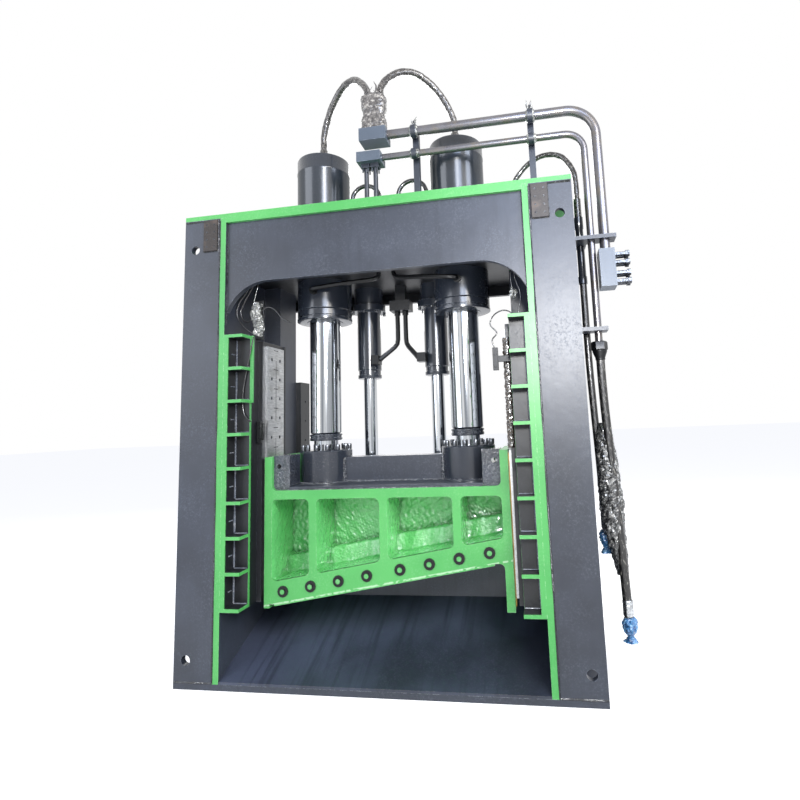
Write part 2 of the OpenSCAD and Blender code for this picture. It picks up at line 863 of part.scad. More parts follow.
// Bent pipes from the manifold to the lower ports of the clamp cylinders
module clamp_pipes() {
    z0 = z_web - manifold_drop - manifold_h;
    z1 = z_clamp_cyl + port_up;
    y1 = clamp_y - clamp_r - port_block_d / 2;
    for (s = [-1, 1]) {
        x0 = manifold_x + s * manifold_w / 5;
        x1 = s * (clamp_x - port_in);
        color(black) {
            sweep(spline(route([x0, manifold_y, z0], [x1 - s * port_block_w / 2, y1, z1],
                clamp_pipe_shares, clamp_pipe_rises), 2), clamp_pipe_r, thin_sides);
            translate([x0, manifold_y, z0 - clamp_nut_h])
                cylinder(h = clamp_nut_h, r = clamp_pipe_r + groove_d, $fn = 6);
        }
        color(dark) difference() {
            translate([x1, y1, z1])
                cube([port_block_w, 2 * port_block_d, port_block_h], center = true);
            translate([s * clamp_x, clamp_y, z1 - port_block_h])
                cylinder(h = 2 * port_block_h, r = (clamp_r + seat) / cos(180 / $fn));
        }
    }
}
clamp_nut_h = 30;

// Pipes from the web to the rod-side ports on the front of the main cylinders
module head_pipes() {
    y1 = main_y - main_r;
    color(black) for (s = [-1, 1]) {
        a = [manifold_x + s * manifold_w / 3, y1 + head_pipe_r, z_web - seat];
        b = [s * main_x, y1 - head_pipe_r, z_head_port];
        bends = route(a, b, head_pipe_shares, head_pipe_rises);
        path = [for (i = [0 : len(bends) - 1]) bends[i] + [0, head_pipe_outs[i], 0]];
        sweep(spline(path, 2), head_pipe_r, thin_sides, [true, false], [1, -1, 1]);
        difference() {
            translate([b[0], b[1] - over, b[2]]) rotate([-90, 0, 0])
                cylinder(h = head_port_h, r = head_port_r, $fn = plain);
            translate([b[0], main_y, b[2] - head_port_h])
                cylinder(h = 2 * head_port_h, r = (main_r + seat) / cos(180 / fine), $fn = fine);
        }
    }
}
head_port_drop = 95;
z_head_port = z_web - head_port_drop;
head_pipe_r = 16;
head_port_r = 26;
head_port_h = 60;

// Port blocks at the left ends of the two long pipes
module upper_block() {
    color(dark) difference() {
        block([upper_block_x - upper_block_w / 2, pipe_y - block_d / 2, z_block - upper_block_h],
            [upper_block_x + upper_block_w / 2, pipe_y + block_d / 2, z_block]);
        translate([upper_block_x + upper_block_w / 2 - pipe_in, pipe_y, z_top + pipe_rise])
            rotate([0, 90, 0]) cylinder(h = upper_block_w, r = pipe_r + seat);
    }
}
pipe_in = 30;

// Film wrapped round the hose fittings on the upper block
module fitting_wrap() {
    color(film) translate([upper_block_x, pipe_y, z_block]) {
        linear_extrude(wrap_waist_h, scale = wrap_waist)
            square([wrap_w, wrap_d], center = true);
        translate([0, 0, wrap_waist_h]) linear_extrude(wrap_h - wrap_waist_h, scale = 1 / wrap_waist)
            square([wrap_w * wrap_waist, wrap_d * wrap_waist], center = true);
    }
}

module lower_block() {
    z = z_top + small_rise - small_drop;
    color(dark) difference() {
        block([lower_block_x - lower_block_w / 2, pipe_y - block_d / 2, z - lower_block_h / 2],
            [lower_block_x + lower_block_w / 2, pipe_y + block_d / 2, z + lower_block_h / 2]);
        translate([lower_block_x + lower_block_w / 2 - pipe_in, pipe_y, z_top + small_rise])
            rotate([0, 90, 0]) cylinder(h = lower_block_w, r = small_r + seat);
    }
}

// Two flanged pipes from the lower block down to the top plate
drop_pitch = 66;
drop_r = 16;
drop_flange_h = 30;
drop_flange_w = 56;
drop_bolt_r = 5;

module drop_pipes() {
    z1 = z_top + small_rise - small_drop - lower_block_h / 2;
    color(dark) for (s = [-1, 1]) translate([lower_block_x + s * drop_pitch / 2, pipe_y, 0]) {
        translate([0, 0, z_top]) cylinder(h = z1 - z_top, r = drop_r);
        translate([0, 0, z1 - drop_flange_h / 2])
            cube([drop_flange_w, drop_flange_w, drop_flange_h], center = true);
        translate([0, 0, z_top]) cylinder(h = drop_flange_h / 2, r = drop_r + pad_t);
        for (x = [-1, 1], y = [-1, 1])
            translate([x * drop_flange_w / 3, y * drop_flange_w / 3, z1 - drop_flange_h * 2])
                cylinder(h = drop_flange_h, r = drop_bolt_r, $fn = 6);
    }
}

// Long pipe: along the top, a quarter bend, then down beside the column
module long_pipe(r, x0, z, bend, x1, z_end) {
    translate([x0, pipe_y, z]) rotate([0, 90, 0])
        cylinder(h = x1 - bend - x0, r = r, $fn = pipe_sides);
    translate([x1 - bend, pipe_y, z - bend]) rotate([90, 0, 0])
        rotate_extrude(angle = 90, $fn = fine) translate([bend, 0]) circle(r, $fn = pipe_sides);
    translate([x1, pipe_y, z_end]) cylinder(h = z - bend - z_end, r = r, $fn = pipe_sides);
}

module upper_pipe() {
    color(dark) long_pipe(pipe_r, upper_block_x + upper_block_w / 2 - pipe_in + seat,
        z_top + pipe_rise, upper_bend, x_out + pipe_out, side_block_z + side_block_h);
}

module lower_pipe() {
    color(dark) long_pipe(small_r, lower_block_x + lower_block_w / 2 - pipe_in + seat,
        z_top + small_rise, small_bend, x_out + small_out, coupling_z);
}

// Square posts on the top plate, each with a clip round both pipes
module pipe_posts() {
    color(dark) for (x = post_x) {
        translate([x, 0, 0]) {
            y0 = pipe_y + pipe_r + clip_t;
            block([-post_w / 2, y0, z_top], [post_w / 2, y0 + post_w, z_top + pipe_rise + pipe_r]);
            for (p = [[pipe_rise, pipe_r], [small_rise, small_r]])
                translate([0, pipe_y, z_top + p[0]]) rotate([0, 90, 0]) difference() {
                    union() {
                        translate([0, 0, -clip_w / 2]) cylinder(h = clip_w, r = p[1] + clip_t);
                        block([-clip_t, 0, -clip_w / 2], [clip_t, pipe_r + clip_t, clip_w / 2]);
                    }
                    translate([0, 0, -clip_w]) cylinder(h = 2 * clip_w, r = p[1] + seat);
                }
            translate([0, pipe_y, z_top + pipe_rise + pipe_r + clip_t - over])
                cylinder(h = clip_w, r = clip_t / 2, $fn = 6);
        }
    }
}

// Hoses from the heads of the main cylinders to the wrapped fittings
module top_hoses() {
    z0 = z_main_top + port_h;
    shares = [left_hose_shares, right_hose_shares];
    rises = [left_hose_rises, right_hose_rises];
    color(black) for (i = [0, 1]) {
        s = 2 * i - 1;
        sweep(spline(route([s * main_x, main_y, z0 + ferrule_h - over],
            [upper_block_x + s * hose_in, pipe_y, z_wrap + seat], shares[i], rises[i]), 2),
            hose_r, tube_sides, [true, true]);
        translate([s * main_x, main_y, z0]) cylinder(h = ferrule_h, r = ferrule_r, $fn = plain);
        translate([s * main_x, main_y, z0]) cylinder(h = ferrule_h / 3, r = ferrule_r + groove_d, $fn = 6);
    }
}

// Low loops of hose that cross behind the posts
loop_r = 16;
loop_bend = 105;
loop_stub = 190;
loop_x = [-150, 200];
loop_y = -70;

module loop_hoses() {
    color(black) for (x = loop_x) translate([x, loop_y, z_top]) {
        for (s = [-1, 1]) translate([s * loop_bend, 0, 0]) {
            cylinder(h = loop_stub, r = loop_r, $fn = head_sides);
            cylinder(h = loop_stub / 4, r = loop_r + groove_d, $fn = 6);
        }
        translate([0, 0, loop_stub]) rotate([90, 0, 0])
            rotate_extrude(angle = 180) translate([loop_bend, 0]) circle(loop_r, $fn = head_sides);
    }
}

// Hose from the top plate over the edge of the column
module side_hose() {
    a = [side_hose_x, side_hose_y, z_top + side_stub];
    b = [side_x, side_y, z_side_hose];
    color(black) {
        sweep(spline(route(a, b, side_hose_shares, side_hose_rises), 2), small_hose_r,
            tube_sides, [true, true]);
        translate([a[0], a[1], z_top]) cylinder(h = side_stub, r = small_hose_r + groove_d);
        translate([b[0], b[1], b[2] - side_ferrule_h])
            cylinder(h = side_ferrule_h, r = small_hose_r + groove_d);
    }
}

// Steel tube beside the column, between the side hose and the free hose
module side_tube() {
    z0 = short_route[0][2] + seat;
    color(dark) translate([side_x, side_y, 0]) {
        translate([0, 0, z0 + ferrule_h])
            cylinder(h = z_side_hose - side_ferrule_h - z0 - ferrule_h, r = loop_r);
        translate([0, 0, z0]) cylinder(h = ferrule_h, r = short_r + groove_d);
    }
}

// Port block under the upper pipe, with long studs on its outer face
module side_block() {
    x0 = x_out + pipe_out - side_block_w / 2;
    color(dark) block([x0, pipe_y - block_d / 2, side_block_z],
        [x0 + side_block_w, pipe_y + block_d / 2, side_block_z + side_block_h]);
}

module side_block_studs() {
    x0 = x_out + pipe_out + side_block_w / 2;
    color(steel) for (g = [1 / 4, 3 / 4], y = [-1 / 2, 1 / 2], z = [-1 / 2, 1 / 2])
        translate([x0, pipe_y + y * stud_pitch, side_block_z + g * side_block_h + z * stud_pitch])
            rotate([0, 90, 0]) {
                cylinder(h = stud_len, r = stud_r, $fn = thin_sides);
                translate([0, 0, stud_len - stud_nut_h])
                    cylinder(h = stud_nut_h, r = stud_nut_r, $fn = 6);
            }
}

// Brackets from the column to the pipes that run down beside it
module side_brackets() {
    color(dark) difference() {
        union() {
            block([x_out, pipe_y - bracket_d / 2, side_z],
                [x_out + pipe_out + pipe_r + clip_w, pipe_y + bracket_d / 2, side_z + bracket_t]);
            block([x_out, pipe_y - bracket_d / 2, side_z],
                [x_out + bracket_t, side_y + bracket_d / 2, side_z + bracket_t]);
            block([x_out, side_y - bracket_d / 2, side_z],
                [side_x + clip_w, side_y + bracket_d / 2, side_z + bracket_t]);
            block([x_out, pipe_y - bracket_d / 2, coupling_z + bracket_up],
                [x_out + small_out + small_r + clip_w, pipe_y + bracket_d / 2,
                coupling_z + bracket_up + bracket_t]);
        }
        translate([x_out + pipe_out, pipe_y, side_z - over])
            cylinder(h = bracket_t + 2 * over, r = pipe_r + seat);
        translate([x_out + small_out, pipe_y, coupling_z + over])
            cylinder(h = side_z - coupling_z + bracket_t, r = small_r + seat);
        translate([side_x, side_y, side_z - over])
            cylinder(h = bracket_t + 2 * over, r = loop_r + seat);
    }
}
bracket_up = 60;

// Union on the end of the lower pipe, from which the long hose hangs
module hose_coupling() {
    color(black) translate([x_out + small_out, pipe_y, 0]) {
        translate([0, 0, coupling_z - coupling_h / 2])
            cylinder(h = coupling_h / 2, r = coupling_r);
        translate([0, 0, long_route[0][2] + seat])
            cylinder(h = coupling_z - coupling_h / 2 - long_route[0][2] - seat,
                r1 = free_r + groove_d, r2 = coupling_r);
    }
}

module hose_long() {
    color(black) sweep(spline(long_route, 3), free_r, tube_sides, [true, true]);
}

module hose_short() {
    color(black) sweep(spline(short_route, 3), short_r, tube_sides, [true, true]);
}

// Rag-wrapped plug that closes the end of a free hose
module hose_end_cap(p) {
    color(film) translate([p[0], p[1], p[2] - cap_len - seat]) {
        translate([0, 0, cap_len / 3]) cylinder(h = cap_len * 2 / 3, r = cap_r);
        cylinder(h = cap_len / 3, r1 = cap_r / 2, r2 = cap_r);
    }
}

module hose_long_cap() { hose_end_cap(long_route[len(long_route) - 1]); }
module hose_short_cap() { hose_end_cap(short_route[len(short_route) - 1]); }

// Ram: raked lower band, legs, ears and four pockets between its ribs
function ram_outline() = rounded([
    [-ram_half, z_ear], [-ram_half, ram_low], [-ram_half + foot_w, ram_low],
    [-ram_half + foot_w, edge_z(x_edge0) + notch_h], [x_edge0, edge_z(x_edge0) + notch_h],
    [x_edge0, edge_z(x_edge0)], [x_edge1, edge_z(x_edge1)],
    [x_edge1, edge_z(x_edge1) + notch_h], [ram_half - ram_rib, edge_z(x_edge1) + notch_h],
    [ram_half - ram_rib, ram_low], [ram_half, ram_low], [ram_half, z_ear],
    [ram_half - ram_rib, z_ear], [ram_half - ram_rib, z_flange],
    [-ram_half + ram_rib, z_flange], [-ram_half + ram_rib, z_ear]
], [0, 0, 0, 0, 0, 0, 0, 0, fillet_r, 0, 0, 0, 0, fillet_r, fillet_r, 0], corner_steps);

// Pockets: the outer two are narrower than the inner two
pocket_shares = [0.61, 1, 1, 0.61];
pocket_room = 2 * ram_half - 5 * ram_rib;
function share_sum(n) = n == 0 ? 0 : pocket_shares[n - 1] + share_sum(n - 1);
function pocket_x(i) = -ram_half + ram_rib * (i + 1) + pocket_room * share_sum(i) / share_sum(4);
function pocket_end(i) = pocket_x(i + 1) - ram_rib;

module ram_pocket(i, up, y0, y1) {
    a = pocket_x(i);
    b = pocket_end(i);
    plate_xz(rounded([[a, edge_z(a) + up], [b, edge_z(b) + up],
        [b, z_flange - ram_flange], [a, z_flange - ram_flange]],
        [pocket_r, pocket_r, pocket_r, pocket_r], corner_steps), y0, y1);
}

module ram() {
    color(green) difference() {
        plate_xz(ram_outline(), y_ram, y_shear);
        for (i = [0 : 3]) {
            ram_pocket(i, band_h, y_ram - over, y_ram + pocket_d - ledge_d);
            ram_pocket(i, band_h + ledge_h, y_ram + pocket_d - ledge_d - over, y_ram + pocket_d);
        }
        knife_seat(y_shear - knife_t, y_shear + over);
        ram_bolts() bore_y(0, 0, bolt_shank_r + seat, y_ram - over, y_shear + over, head_sides);
    }
}

module knife_seat(y0, y1) {
    plate_xz([[x_edge0 - over, edge_z(x_edge0 - over) - over],
        [x_edge1 + over, edge_z(x_edge1 + over) - over],
        [x_edge1 + over, edge_z(x_edge1 + over) + knife_up],
        [x_edge0 - over, edge_z(x_edge0 - over) + knife_up]], y0, y1);
}
knife_up = knife_h / cos(rake);

module ram_bolts() {
    for (i = [0 : knife_bolts - 1]) {
        x = x_edge0 + bolt_inset + i * bolt_span + (i >= knife_bolts / 2 ? bolt_gap : 0);
        translate([x, 0, edge_z(x) + bolt_up]) children();
    }
}

module upper_knife() {
    color(steel) difference() {
        plate_xz([[x_edge0, edge_z(x_edge0)], [x_edge1, edge_z(x_edge1)],
            [x_edge1, edge_z(x_edge1) + knife_up - seat],
            [x_edge0, edge_z(x_edge0) + knife_up - seat]], y_shear - knife_t, y_shear);
        ram_bolts() bore_y(0, 0, bolt_shank_r + seat, y_shear - knife_t - over, y_shear + over,
            head_sides);
    }
}

module upper_knife_bolts() {
    color(black) ram_bolts() {
        bore_y(0, 0, bolt_ring_r, y_ram - bolt_ring_t / 2, y_ram);
        bore_y(0, 0, bolt_head_r, y_ram - bolt_ring_t, y_ram - bolt_ring_t / 2, head_sides);
        bore_y(0, 0, bolt_shank_r, y_ram, y_shear - over, head_sides);
    }
}

module ram_shoes() {
    y0 = y_guide + liner_set;
    color(bronze) both() block([ram_half, y0, ram_low + shoe_margin],
        [ram_half + shoe_t, y0 + liner_w, z_ear - shoe_margin]);
}

// Base plate on the ram, with the tie beam between the rod sockets
module ram_saddle() {
    x_in = ram_half - ram_rib - lug_w - 2 * lug_play;
    x_wide = ram_half - ram_rib - fillet_r;
    y0 = y_ram + saddle_set;
    y1 = y_ram + lug_set + lug_d + lug_play;
    color(dark) difference() {
        union() {
            translate([0, 0, z_flange]) linear_extrude(saddle_t) polygon([
                [-x_in, y0], [x_in, y0], [x_in, y1], [x_wide, y1], [x_wide, y_shear],
                [-x_wide, y_shear], [-x_wide, y1], [-x_in, y1]
            ]);
            block([-main_x, main_y - tie_d / 2, z_saddle],
                [main_x, main_y + tie_d / 2, z_saddle + tie_h]);
        }
        both() translate([main_x, main_y, z_saddle])
            cylinder(h = tie_h + over, r = socket_r + seat, $fn = fine);
    }
}

module guide_lugs() {
    x1 = ram_half - ram_rib - lug_play;
    y0 = y_ram + lug_set;
    color(dark) both() difference() {
        plate_xz(rounded([[x1 - lug_w, z_flange], [x1, z_flange], [x1, z_flange + lug_h],
            [x1 - lug_w, z_flange + lug_h]], [0, fillet_r + lug_play, 0, 0], corner_steps),
            y0, y0 + lug_d);
        bore_y(x1 - lug_w / 3, z_flange + lug_h - lug_hole_drop, lug_hole, y0 - over,
            y0 + lug_d + over, $fn);
    }
}

// Sockets that hold the feet of the main rods, closed by screwed rings
module rod_sockets() {
    color(dark) both() translate([main_x, main_y, z_saddle]) difference() {
        union() {
            cylinder(h = socket_h, r = socket_r, $fn = fine);
            around(socket_screws, socket_r - screw_inset)
                translate([0, 0, socket_h - over])
                cylinder(h = screw_h + over, r = screw_r, $fn = 6);
        }
        translate([0, 0, socket_h - ring_h - foot_h])
            cylinder(h = foot_h, r = foot_r + seat);
        translate([0, 0, socket_h - ring_h - over])
            cylinder(h = ring_h + 2 * over, r = neck_r + seat);
    }
}

// Rod with its foot, neck and collar, and the piston on its upper end
module main_rods() {
    z_foot = z_socket - ring_h - foot_h + seat;
    color(chrome) both() translate([main_x, main_y, 0]) {
        translate([0, 0, z_foot]) cylinder(h = foot_h - 2 * seat, r = foot_r);
        translate([0, 0, z_foot]) cylinder(h = foot_h + ring_h + neck_top, r = neck_r);
        translate([0, 0, z_socket + neck_top])
            cylinder(h = z_piston - z_socket - neck_top, r = main_rod, $fn = fine);
        translate([0, 0, z_piston]) cylinder(h = piston_h, r = main_bore - run_gap, $fn = fine);
        translate([0, 0, z_piston + piston_h]) cylinder(h = nut_h, r = nut_r, $fn = 6);
    }
}

// Clamp beam: ribbed box with toothed pads below and bronze shoes at its ends
module clamp_head() {
    y0 = y_clamp;
    y1 = y_clamp + clamp_d;
    half = clamp_w / 2;
    bay = (clamp_w - (clamp_bay_count + 1) * clamp_wall) / clamp_bay_count;
    tooth = (clamp_d - 2 * tooth_h) / tooth_count;
    color(dark) difference() {
        union() {
            block([-half, y0, z_clamp + pad_h], [half, y1, z_clamp_top]);
            bar_yz(concat([[y1 - tooth_h, z_clamp + pad_h]], [[y0 + tooth_h, z_clamp + pad_h]],
                [for (i = [0 : 2 * tooth_count])
                    [y0 + tooth_h + i * tooth / 2, z_clamp + (i % 2) * tooth_h]]),
                -half + tooth_h, half - tooth_h);
        }
        for (i = [0 : clamp_bay_count - 1]) let (x = -half + clamp_wall + i * (bay + clamp_wall))
            if (i != 1 && i != clamp_bay_count - 2) block([x, y0 + clamp_wall, z_clamp + pad_h + clamp_wall],
                [x + bay, y1 + over, z_clamp_top - clamp_wall]);
        both() translate([clamp_x, clamp_y, z_clamp_top - clamp_seat_d])
            cylinder(h = clamp_seat_d + over, r = clamp_rod + seat);
    }
    color(bronze) both() block([half, y0 + clamp_shoe_in, z_clamp + pad_h + clamp_wall],
        [half + clamp_shoe_t, y0 + clamp_shoe_in + clamp_shoe_d,
        z_clamp + pad_h + clamp_wall + clamp_shoe_h]);
}

module clamp_rods() {
    z0 = z_clamp_top - clamp_seat_d + seat;
    color(chrome) both() translate([clamp_x, clamp_y, 0]) {
        translate([0, 0, z0]) cylinder(h = z_clamp_piston - z0, r = clamp_rod);
        translate([0, 0, z_clamp_top]) cylinder(h = clamp_collar_h, r = collar_r);
        translate([0, 0, z_clamp_piston]) cylinder(h = clamp_piston_h, r = clamp_bore - run_gap);
    }
}

base_plate();
side_walls();
left_column();
right_column();
left_guide_ribs();
right_guide_ribs();
left_ram_guide();
right_ram_guide();
left_liner();
right_liner();
cheek_boxes();
clamp_guides();
top_plate();
front_beam();
rear_beam();
cylinder_web();
beam_diaphragms();
knife_beam();
lower_knife();
lower_knife_bolts();
chute();
corner_pads();
left_main_barrel();
right_main_barrel();
main_glands();
clamp_barrels();
clamp_glands();
centre_manifold();
clamp_pipes();
head_pipes();
upper_block();
fitting_wrap();
lower_block();
drop_pipes();
upper_pipe();
lower_pipe();
pipe_posts();
top_hoses();
loop_hoses();
side_hose();
side_tube();
side_block();
side_block_studs();
side_brackets();
hose_coupling();
hose_long();
hose_long_cap();
hose_short();
hose_short_cap();
ram();
ram_shoes();
upper_knife();
upper_knife_bolts();
ram_saddle();
guide_lugs();
rod_sockets();
main_rods();
clamp_head();
clamp_rods();
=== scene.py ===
# %% [markdown]
# # Dressing a gantry shear
# The CAD model gives this machine its size, its joints and its main shapes. This lesson adds what
# CAD leaves out: paint with dust and chips, ground and chromed steel, weld beads, lumpy cast
# pockets, smooth pipes and hoses, and crumpled film. Each step says what the piece is on the real
# machine, how it could be made in Blender, and why this way was chosen.

# %% The frame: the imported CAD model
import math

import bpy
import numpy as np
from mathutils import Matrix


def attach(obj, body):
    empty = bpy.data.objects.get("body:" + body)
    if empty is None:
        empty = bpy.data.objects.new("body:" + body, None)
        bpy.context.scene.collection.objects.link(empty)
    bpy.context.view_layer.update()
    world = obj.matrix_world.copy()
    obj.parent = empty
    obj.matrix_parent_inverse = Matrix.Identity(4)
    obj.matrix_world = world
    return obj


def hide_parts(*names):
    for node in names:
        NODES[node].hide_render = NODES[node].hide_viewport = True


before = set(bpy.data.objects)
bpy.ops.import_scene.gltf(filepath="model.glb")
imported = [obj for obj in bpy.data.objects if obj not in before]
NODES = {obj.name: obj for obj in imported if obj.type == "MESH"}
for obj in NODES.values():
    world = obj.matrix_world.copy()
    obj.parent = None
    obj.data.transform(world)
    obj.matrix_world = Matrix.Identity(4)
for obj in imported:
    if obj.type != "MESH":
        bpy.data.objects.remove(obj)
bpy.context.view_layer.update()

# %% [markdown]
# ## The camera
# The photograph was taken standing in front of the right half of the frame, from chest height,
# with a wide lens and the camera tilted up. The camera could be aimed by eye. Here its place and
# its three directions were fitted to corners of the frame, so they are written as numbers.

# %% The camera
CAMERA_PLACE = (1.034, -3.529, 1.537)
CAMERA_RIGHT = (0.98522465, 0.16625199, -0.04114191)
CAMERA_DOWN = (-0.06185306, 0.12138708, -0.99067622)
CAMERA_FORWARD = (-0.1597078, 0.97858339, 0.12987674)
CAMERA_LENS, CAMERA_SHIFT = 23.159, (-0.0695, -0.0560)
SENSOR_WIDTH = 36


def add_camera(place, right, down, forward, lens, shift):
    """A camera looks along its own -Z, with +Y up, so its columns are right, -down, -forward."""
    data = bpy.data.cameras.new("camera")
    data.sensor_width = SENSOR_WIDTH
    data.lens = lens
    data.shift_x, data.shift_y = shift
    camera = bpy.data.objects.new("camera", data)
    rows = [(r, -d, -f, p) for r, d, f, p in zip(right, down, forward, place)]
    camera.matrix_world = Matrix(rows + [(0, 0, 0, 1)])
    bpy.context.scene.collection.objects.link(camera)
    bpy.context.scene.camera = camera


add_camera(CAMERA_PLACE, CAMERA_RIGHT, CAMERA_DOWN, CAMERA_FORWARD, CAMERA_LENS, CAMERA_SHIFT)
print("camera at", CAMERA_PLACE)

# %% [markdown]
# ## Surfaces from arrays
# Every new piece is a surface worked out with numpy: a grid of points from two parameters, turned
# into quads. A shape is kept as three arrays, its points, its quads and its triangles, so that
# several shapes can be joined into one piece. This is quicker than editing by hand, and each
# formula can be read in its docstring.

# %% Shapes as arrays
MM = 0.001
NO_TRIS = np.zeros((0, 3), int)


def grid_quads(rows, columns, close_rows=False):
    """Quads between rings of points, stored ring by ring. close_rows joins the last ring to the
    first."""
    i, j = np.meshgrid(np.arange(rows - (not close_rows)), np.arange(columns), indexing="ij")
    here, below, beside = i * columns, (i + 1) % rows * columns, (j + 1) % columns
    return np.stack([here + j, here + beside, below + beside, below + j], -1).reshape(-1, 4)


def fan(ring, centre):
    """Triangles from a ring of point numbers to one point."""
    ring = np.asarray(ring)
    return np.stack([ring, np.roll(ring, -1), np.full(len(ring), centre)], -1)


def capped(points, sides, ends):
    """Adds the middles of the first and last ring, with the triangles that close the rings."""
    first, count = np.arange(sides), len(points)
    tris = np.vstack([fan(first, count), fan(first[::-1] + count - sides, count + 1)])
    return np.vstack([points, ends]), tris


def outward(points, quads, tris):
    """Turns all faces when the volume that they enclose comes out negative."""
    flat = np.vstack([quads[:, :3], quads[:, [0, 2, 3]], tris])
    a, b, c = (points[flat[:, k]] for k in range(3))
    if np.einsum("ij,ij->i", a, np.cross(b, c)).sum() < 0:
        quads, tris = quads[:, ::-1], tris[:, ::-1]
    return points, quads, tris


def smooth_line(points, steps):
    """Catmull-Rom line: between two points it is the cubic whose slope at each end is half the
    step between that end's neighbours. It passes through every point."""
    p = np.asarray(points, float)
    q = np.vstack([p[:1], p, p[-1:]])
    a, b, c, d = (x[:, None, :] for x in (q[:-3], q[1:-2], q[2:-1], q[3:]))
    t = (np.arange(steps) / steps)[None, :, None]
    square, cube = 2 * a - 5 * b + 4 * c - d, 3 * b - 3 * c + d - a
    line = b + ((c - a) * t + square * t**2 + cube * t**3) / 2
    return np.vstack([line.reshape(-1, 3), p[-1:]])


def even_line(points, count):
    """The same line with its points an even distance apart."""
    p = np.asarray(points, float)
    far = np.concatenate([[0], np.cumsum(np.linalg.norm(np.diff(p, axis=0), axis=1))])
    at = np.linspace(0, far[-1], count)
    return np.stack([np.interp(at, far, p[:, k]) for k in range(3)], -1)


def tube(path, radius, sides=24, caps=True, oval=1.0):
    """Ring carried along a path: point(i, a) = path(i) + radius(i, a) * (side cos a + up sin a),
    where side keeps the direction it had on the ring before. radius is a number, one number a
    ring, or one a point."""
    path = np.asarray(path, float)
    along = np.gradient(path, axis=0)
    along /= np.linalg.norm(along, axis=1)[:, None]
    side = np.empty_like(path)
    last = np.eye(3)[np.argmin(np.abs(along[0]))]
    for k, direction in enumerate(along):
        last = last - direction * (last @ direction)
        last = last / np.linalg.norm(last)
        side[k] = last
    up = np.cross(along, side)
    angle = np.linspace(0, 2 * np.pi, sides, endpoint=False)
    r = np.asarray(radius, float)
    r = np.broadcast_to(r[:, None] if r.ndim == 1 else r, (len(path), sides))
    ring = side[:, None] * np.cos(angle)[None, :, None]
    ring = ring + oval * up[:, None] * np.sin(angle)[None, :, None]
    points = (path[:, None] + ring * r[..., None]).reshape(-1, 3)
    tris = NO_TRIS
    if caps:
        points, tris = capped(points, sides, path[[0, -1]])
    return outward(points, grid_quads(len(path), sides), tris)


def turned(profile, centre=(0, 0, 0), axis="z", sides=64, hollow=False):
    """Surface of revolution: a profile of (radius, height) points goes round an axis, so
    point(i, a) = centre + (radius cos a, radius sin a, height). A hollow one has a closed profile
    and no caps."""
    r, h = np.asarray(profile, float).T
    angle = np.linspace(0, 2 * np.pi, sides, endpoint=False)
    x, y = r[:, None] * np.cos(angle), r[:, None] * np.sin(angle)
    z = np.broadcast_to(h[:, None], x.shape)
    order = {"z": (x, y, z), "y": (x, z, y), "x": (z, x, y)}[axis]
    points = np.stack(order, -1).reshape(-1, 3)
    tris = NO_TRIS
    if not hollow:
        points, tris = capped(points, sides, points.reshape(-1, sides, 3)[[0, -1]].mean(1))
    return outward(points + np.asarray(centre), grid_quads(len(r), sides, hollow), tris)


def slab(low, high):
    """Box between two corners."""
    low, high = np.asarray(low, float), np.asarray(high, float)
    corners = np.stack(np.meshgrid([0, 1], [0, 1], [0, 1], indexing="ij"), -1).reshape(-1, 3)
    quads = np.array(
        [[0, 1, 3, 2], [4, 6, 7, 5], [0, 4, 5, 1], [2, 3, 7, 6], [0, 2, 6, 4], [1, 5, 7, 3]]
    )
    return outward(low + corners * (high - low), quads, NO_TRIS)


def mirrored(shape):
    """The same shape on the other side of X = 0, with its faces turned to point outwards."""
    return shape[0] * [-1, 1, 1], shape[1][:, ::-1], shape[2][:, ::-1]


def both_sides(shape):
    return [shape, mirrored(shape)]


def lumps(points, size, seed, waves=9):
    """Smooth uneven field between -1 and 1: the mean of waves that run in random directions,
    each sin(2 pi p.direction / size + phase)."""
    random = np.random.default_rng(seed)
    turns = random.normal(size=(waves, 3))
    turns *= (random.uniform(0.6, 1.5, waves) / np.linalg.norm(turns, axis=1))[:, None]
    phase = random.uniform(0, 2 * np.pi, waves)
    field = np.sin(np.asarray(points) @ turns.T * (2 * np.pi / size) + phase)
    return field.sum(-1) / math.sqrt(waves) * 0.8


three_points = [(0, 0, 0), (0, 0, 1), (0, 0, 2)]
print("a ring of 24 along 3 points has", len(tube(three_points, 1)[1]), "quads")

# %% [markdown]
# ## From arrays to a piece of the machine
# A piece needs a mesh, a body to ride on and a material slot. Faces are smooth
# except across sharp edges. Tubes that get a pattern along them also get a UV map in metres.

# %% Pieces
def piece(name, shapes, body, material=None, replaces=(), angle=38, bevel=0, flat=False):
    """One object from one or more shapes. Its place is in its mesh. Edges sharper than the angle,
    in degrees, stay sharp, and flat leaves every face flat."""
    shapes = shapes if isinstance(shapes, list) else [shapes]
    starts = np.cumsum([0] + [len(s[0]) for s in shapes[:-1]])
    points = np.vstack([s[0] for s in shapes])
    quads = np.vstack([s[1] + k for s, k in zip(shapes, starts)])
    tris = np.vstack([s[2] + k for s, k in zip(shapes, starts)])
    mesh = bpy.data.meshes.new(name)
    mesh.from_pydata(points.tolist(), [], quads.tolist() + tris.tolist())
    if not flat:
        mesh.polygons.foreach_set("use_smooth", np.ones(len(mesh.polygons), bool))
        mesh.set_sharp_from_angle(angle=math.radians(angle))
    if material:
        mesh.materials.append(material)
    made = bpy.data.objects.new(name, mesh)
    bpy.context.scene.collection.objects.link(made)
    if bevel:
        edge = made.modifiers.new("edges", "BEVEL")
        edge.width, edge.segments, edge.limit_method = bevel, 2, "ANGLE"
    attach(made, body)
    if replaces:
        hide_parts(*replaces)
    return made


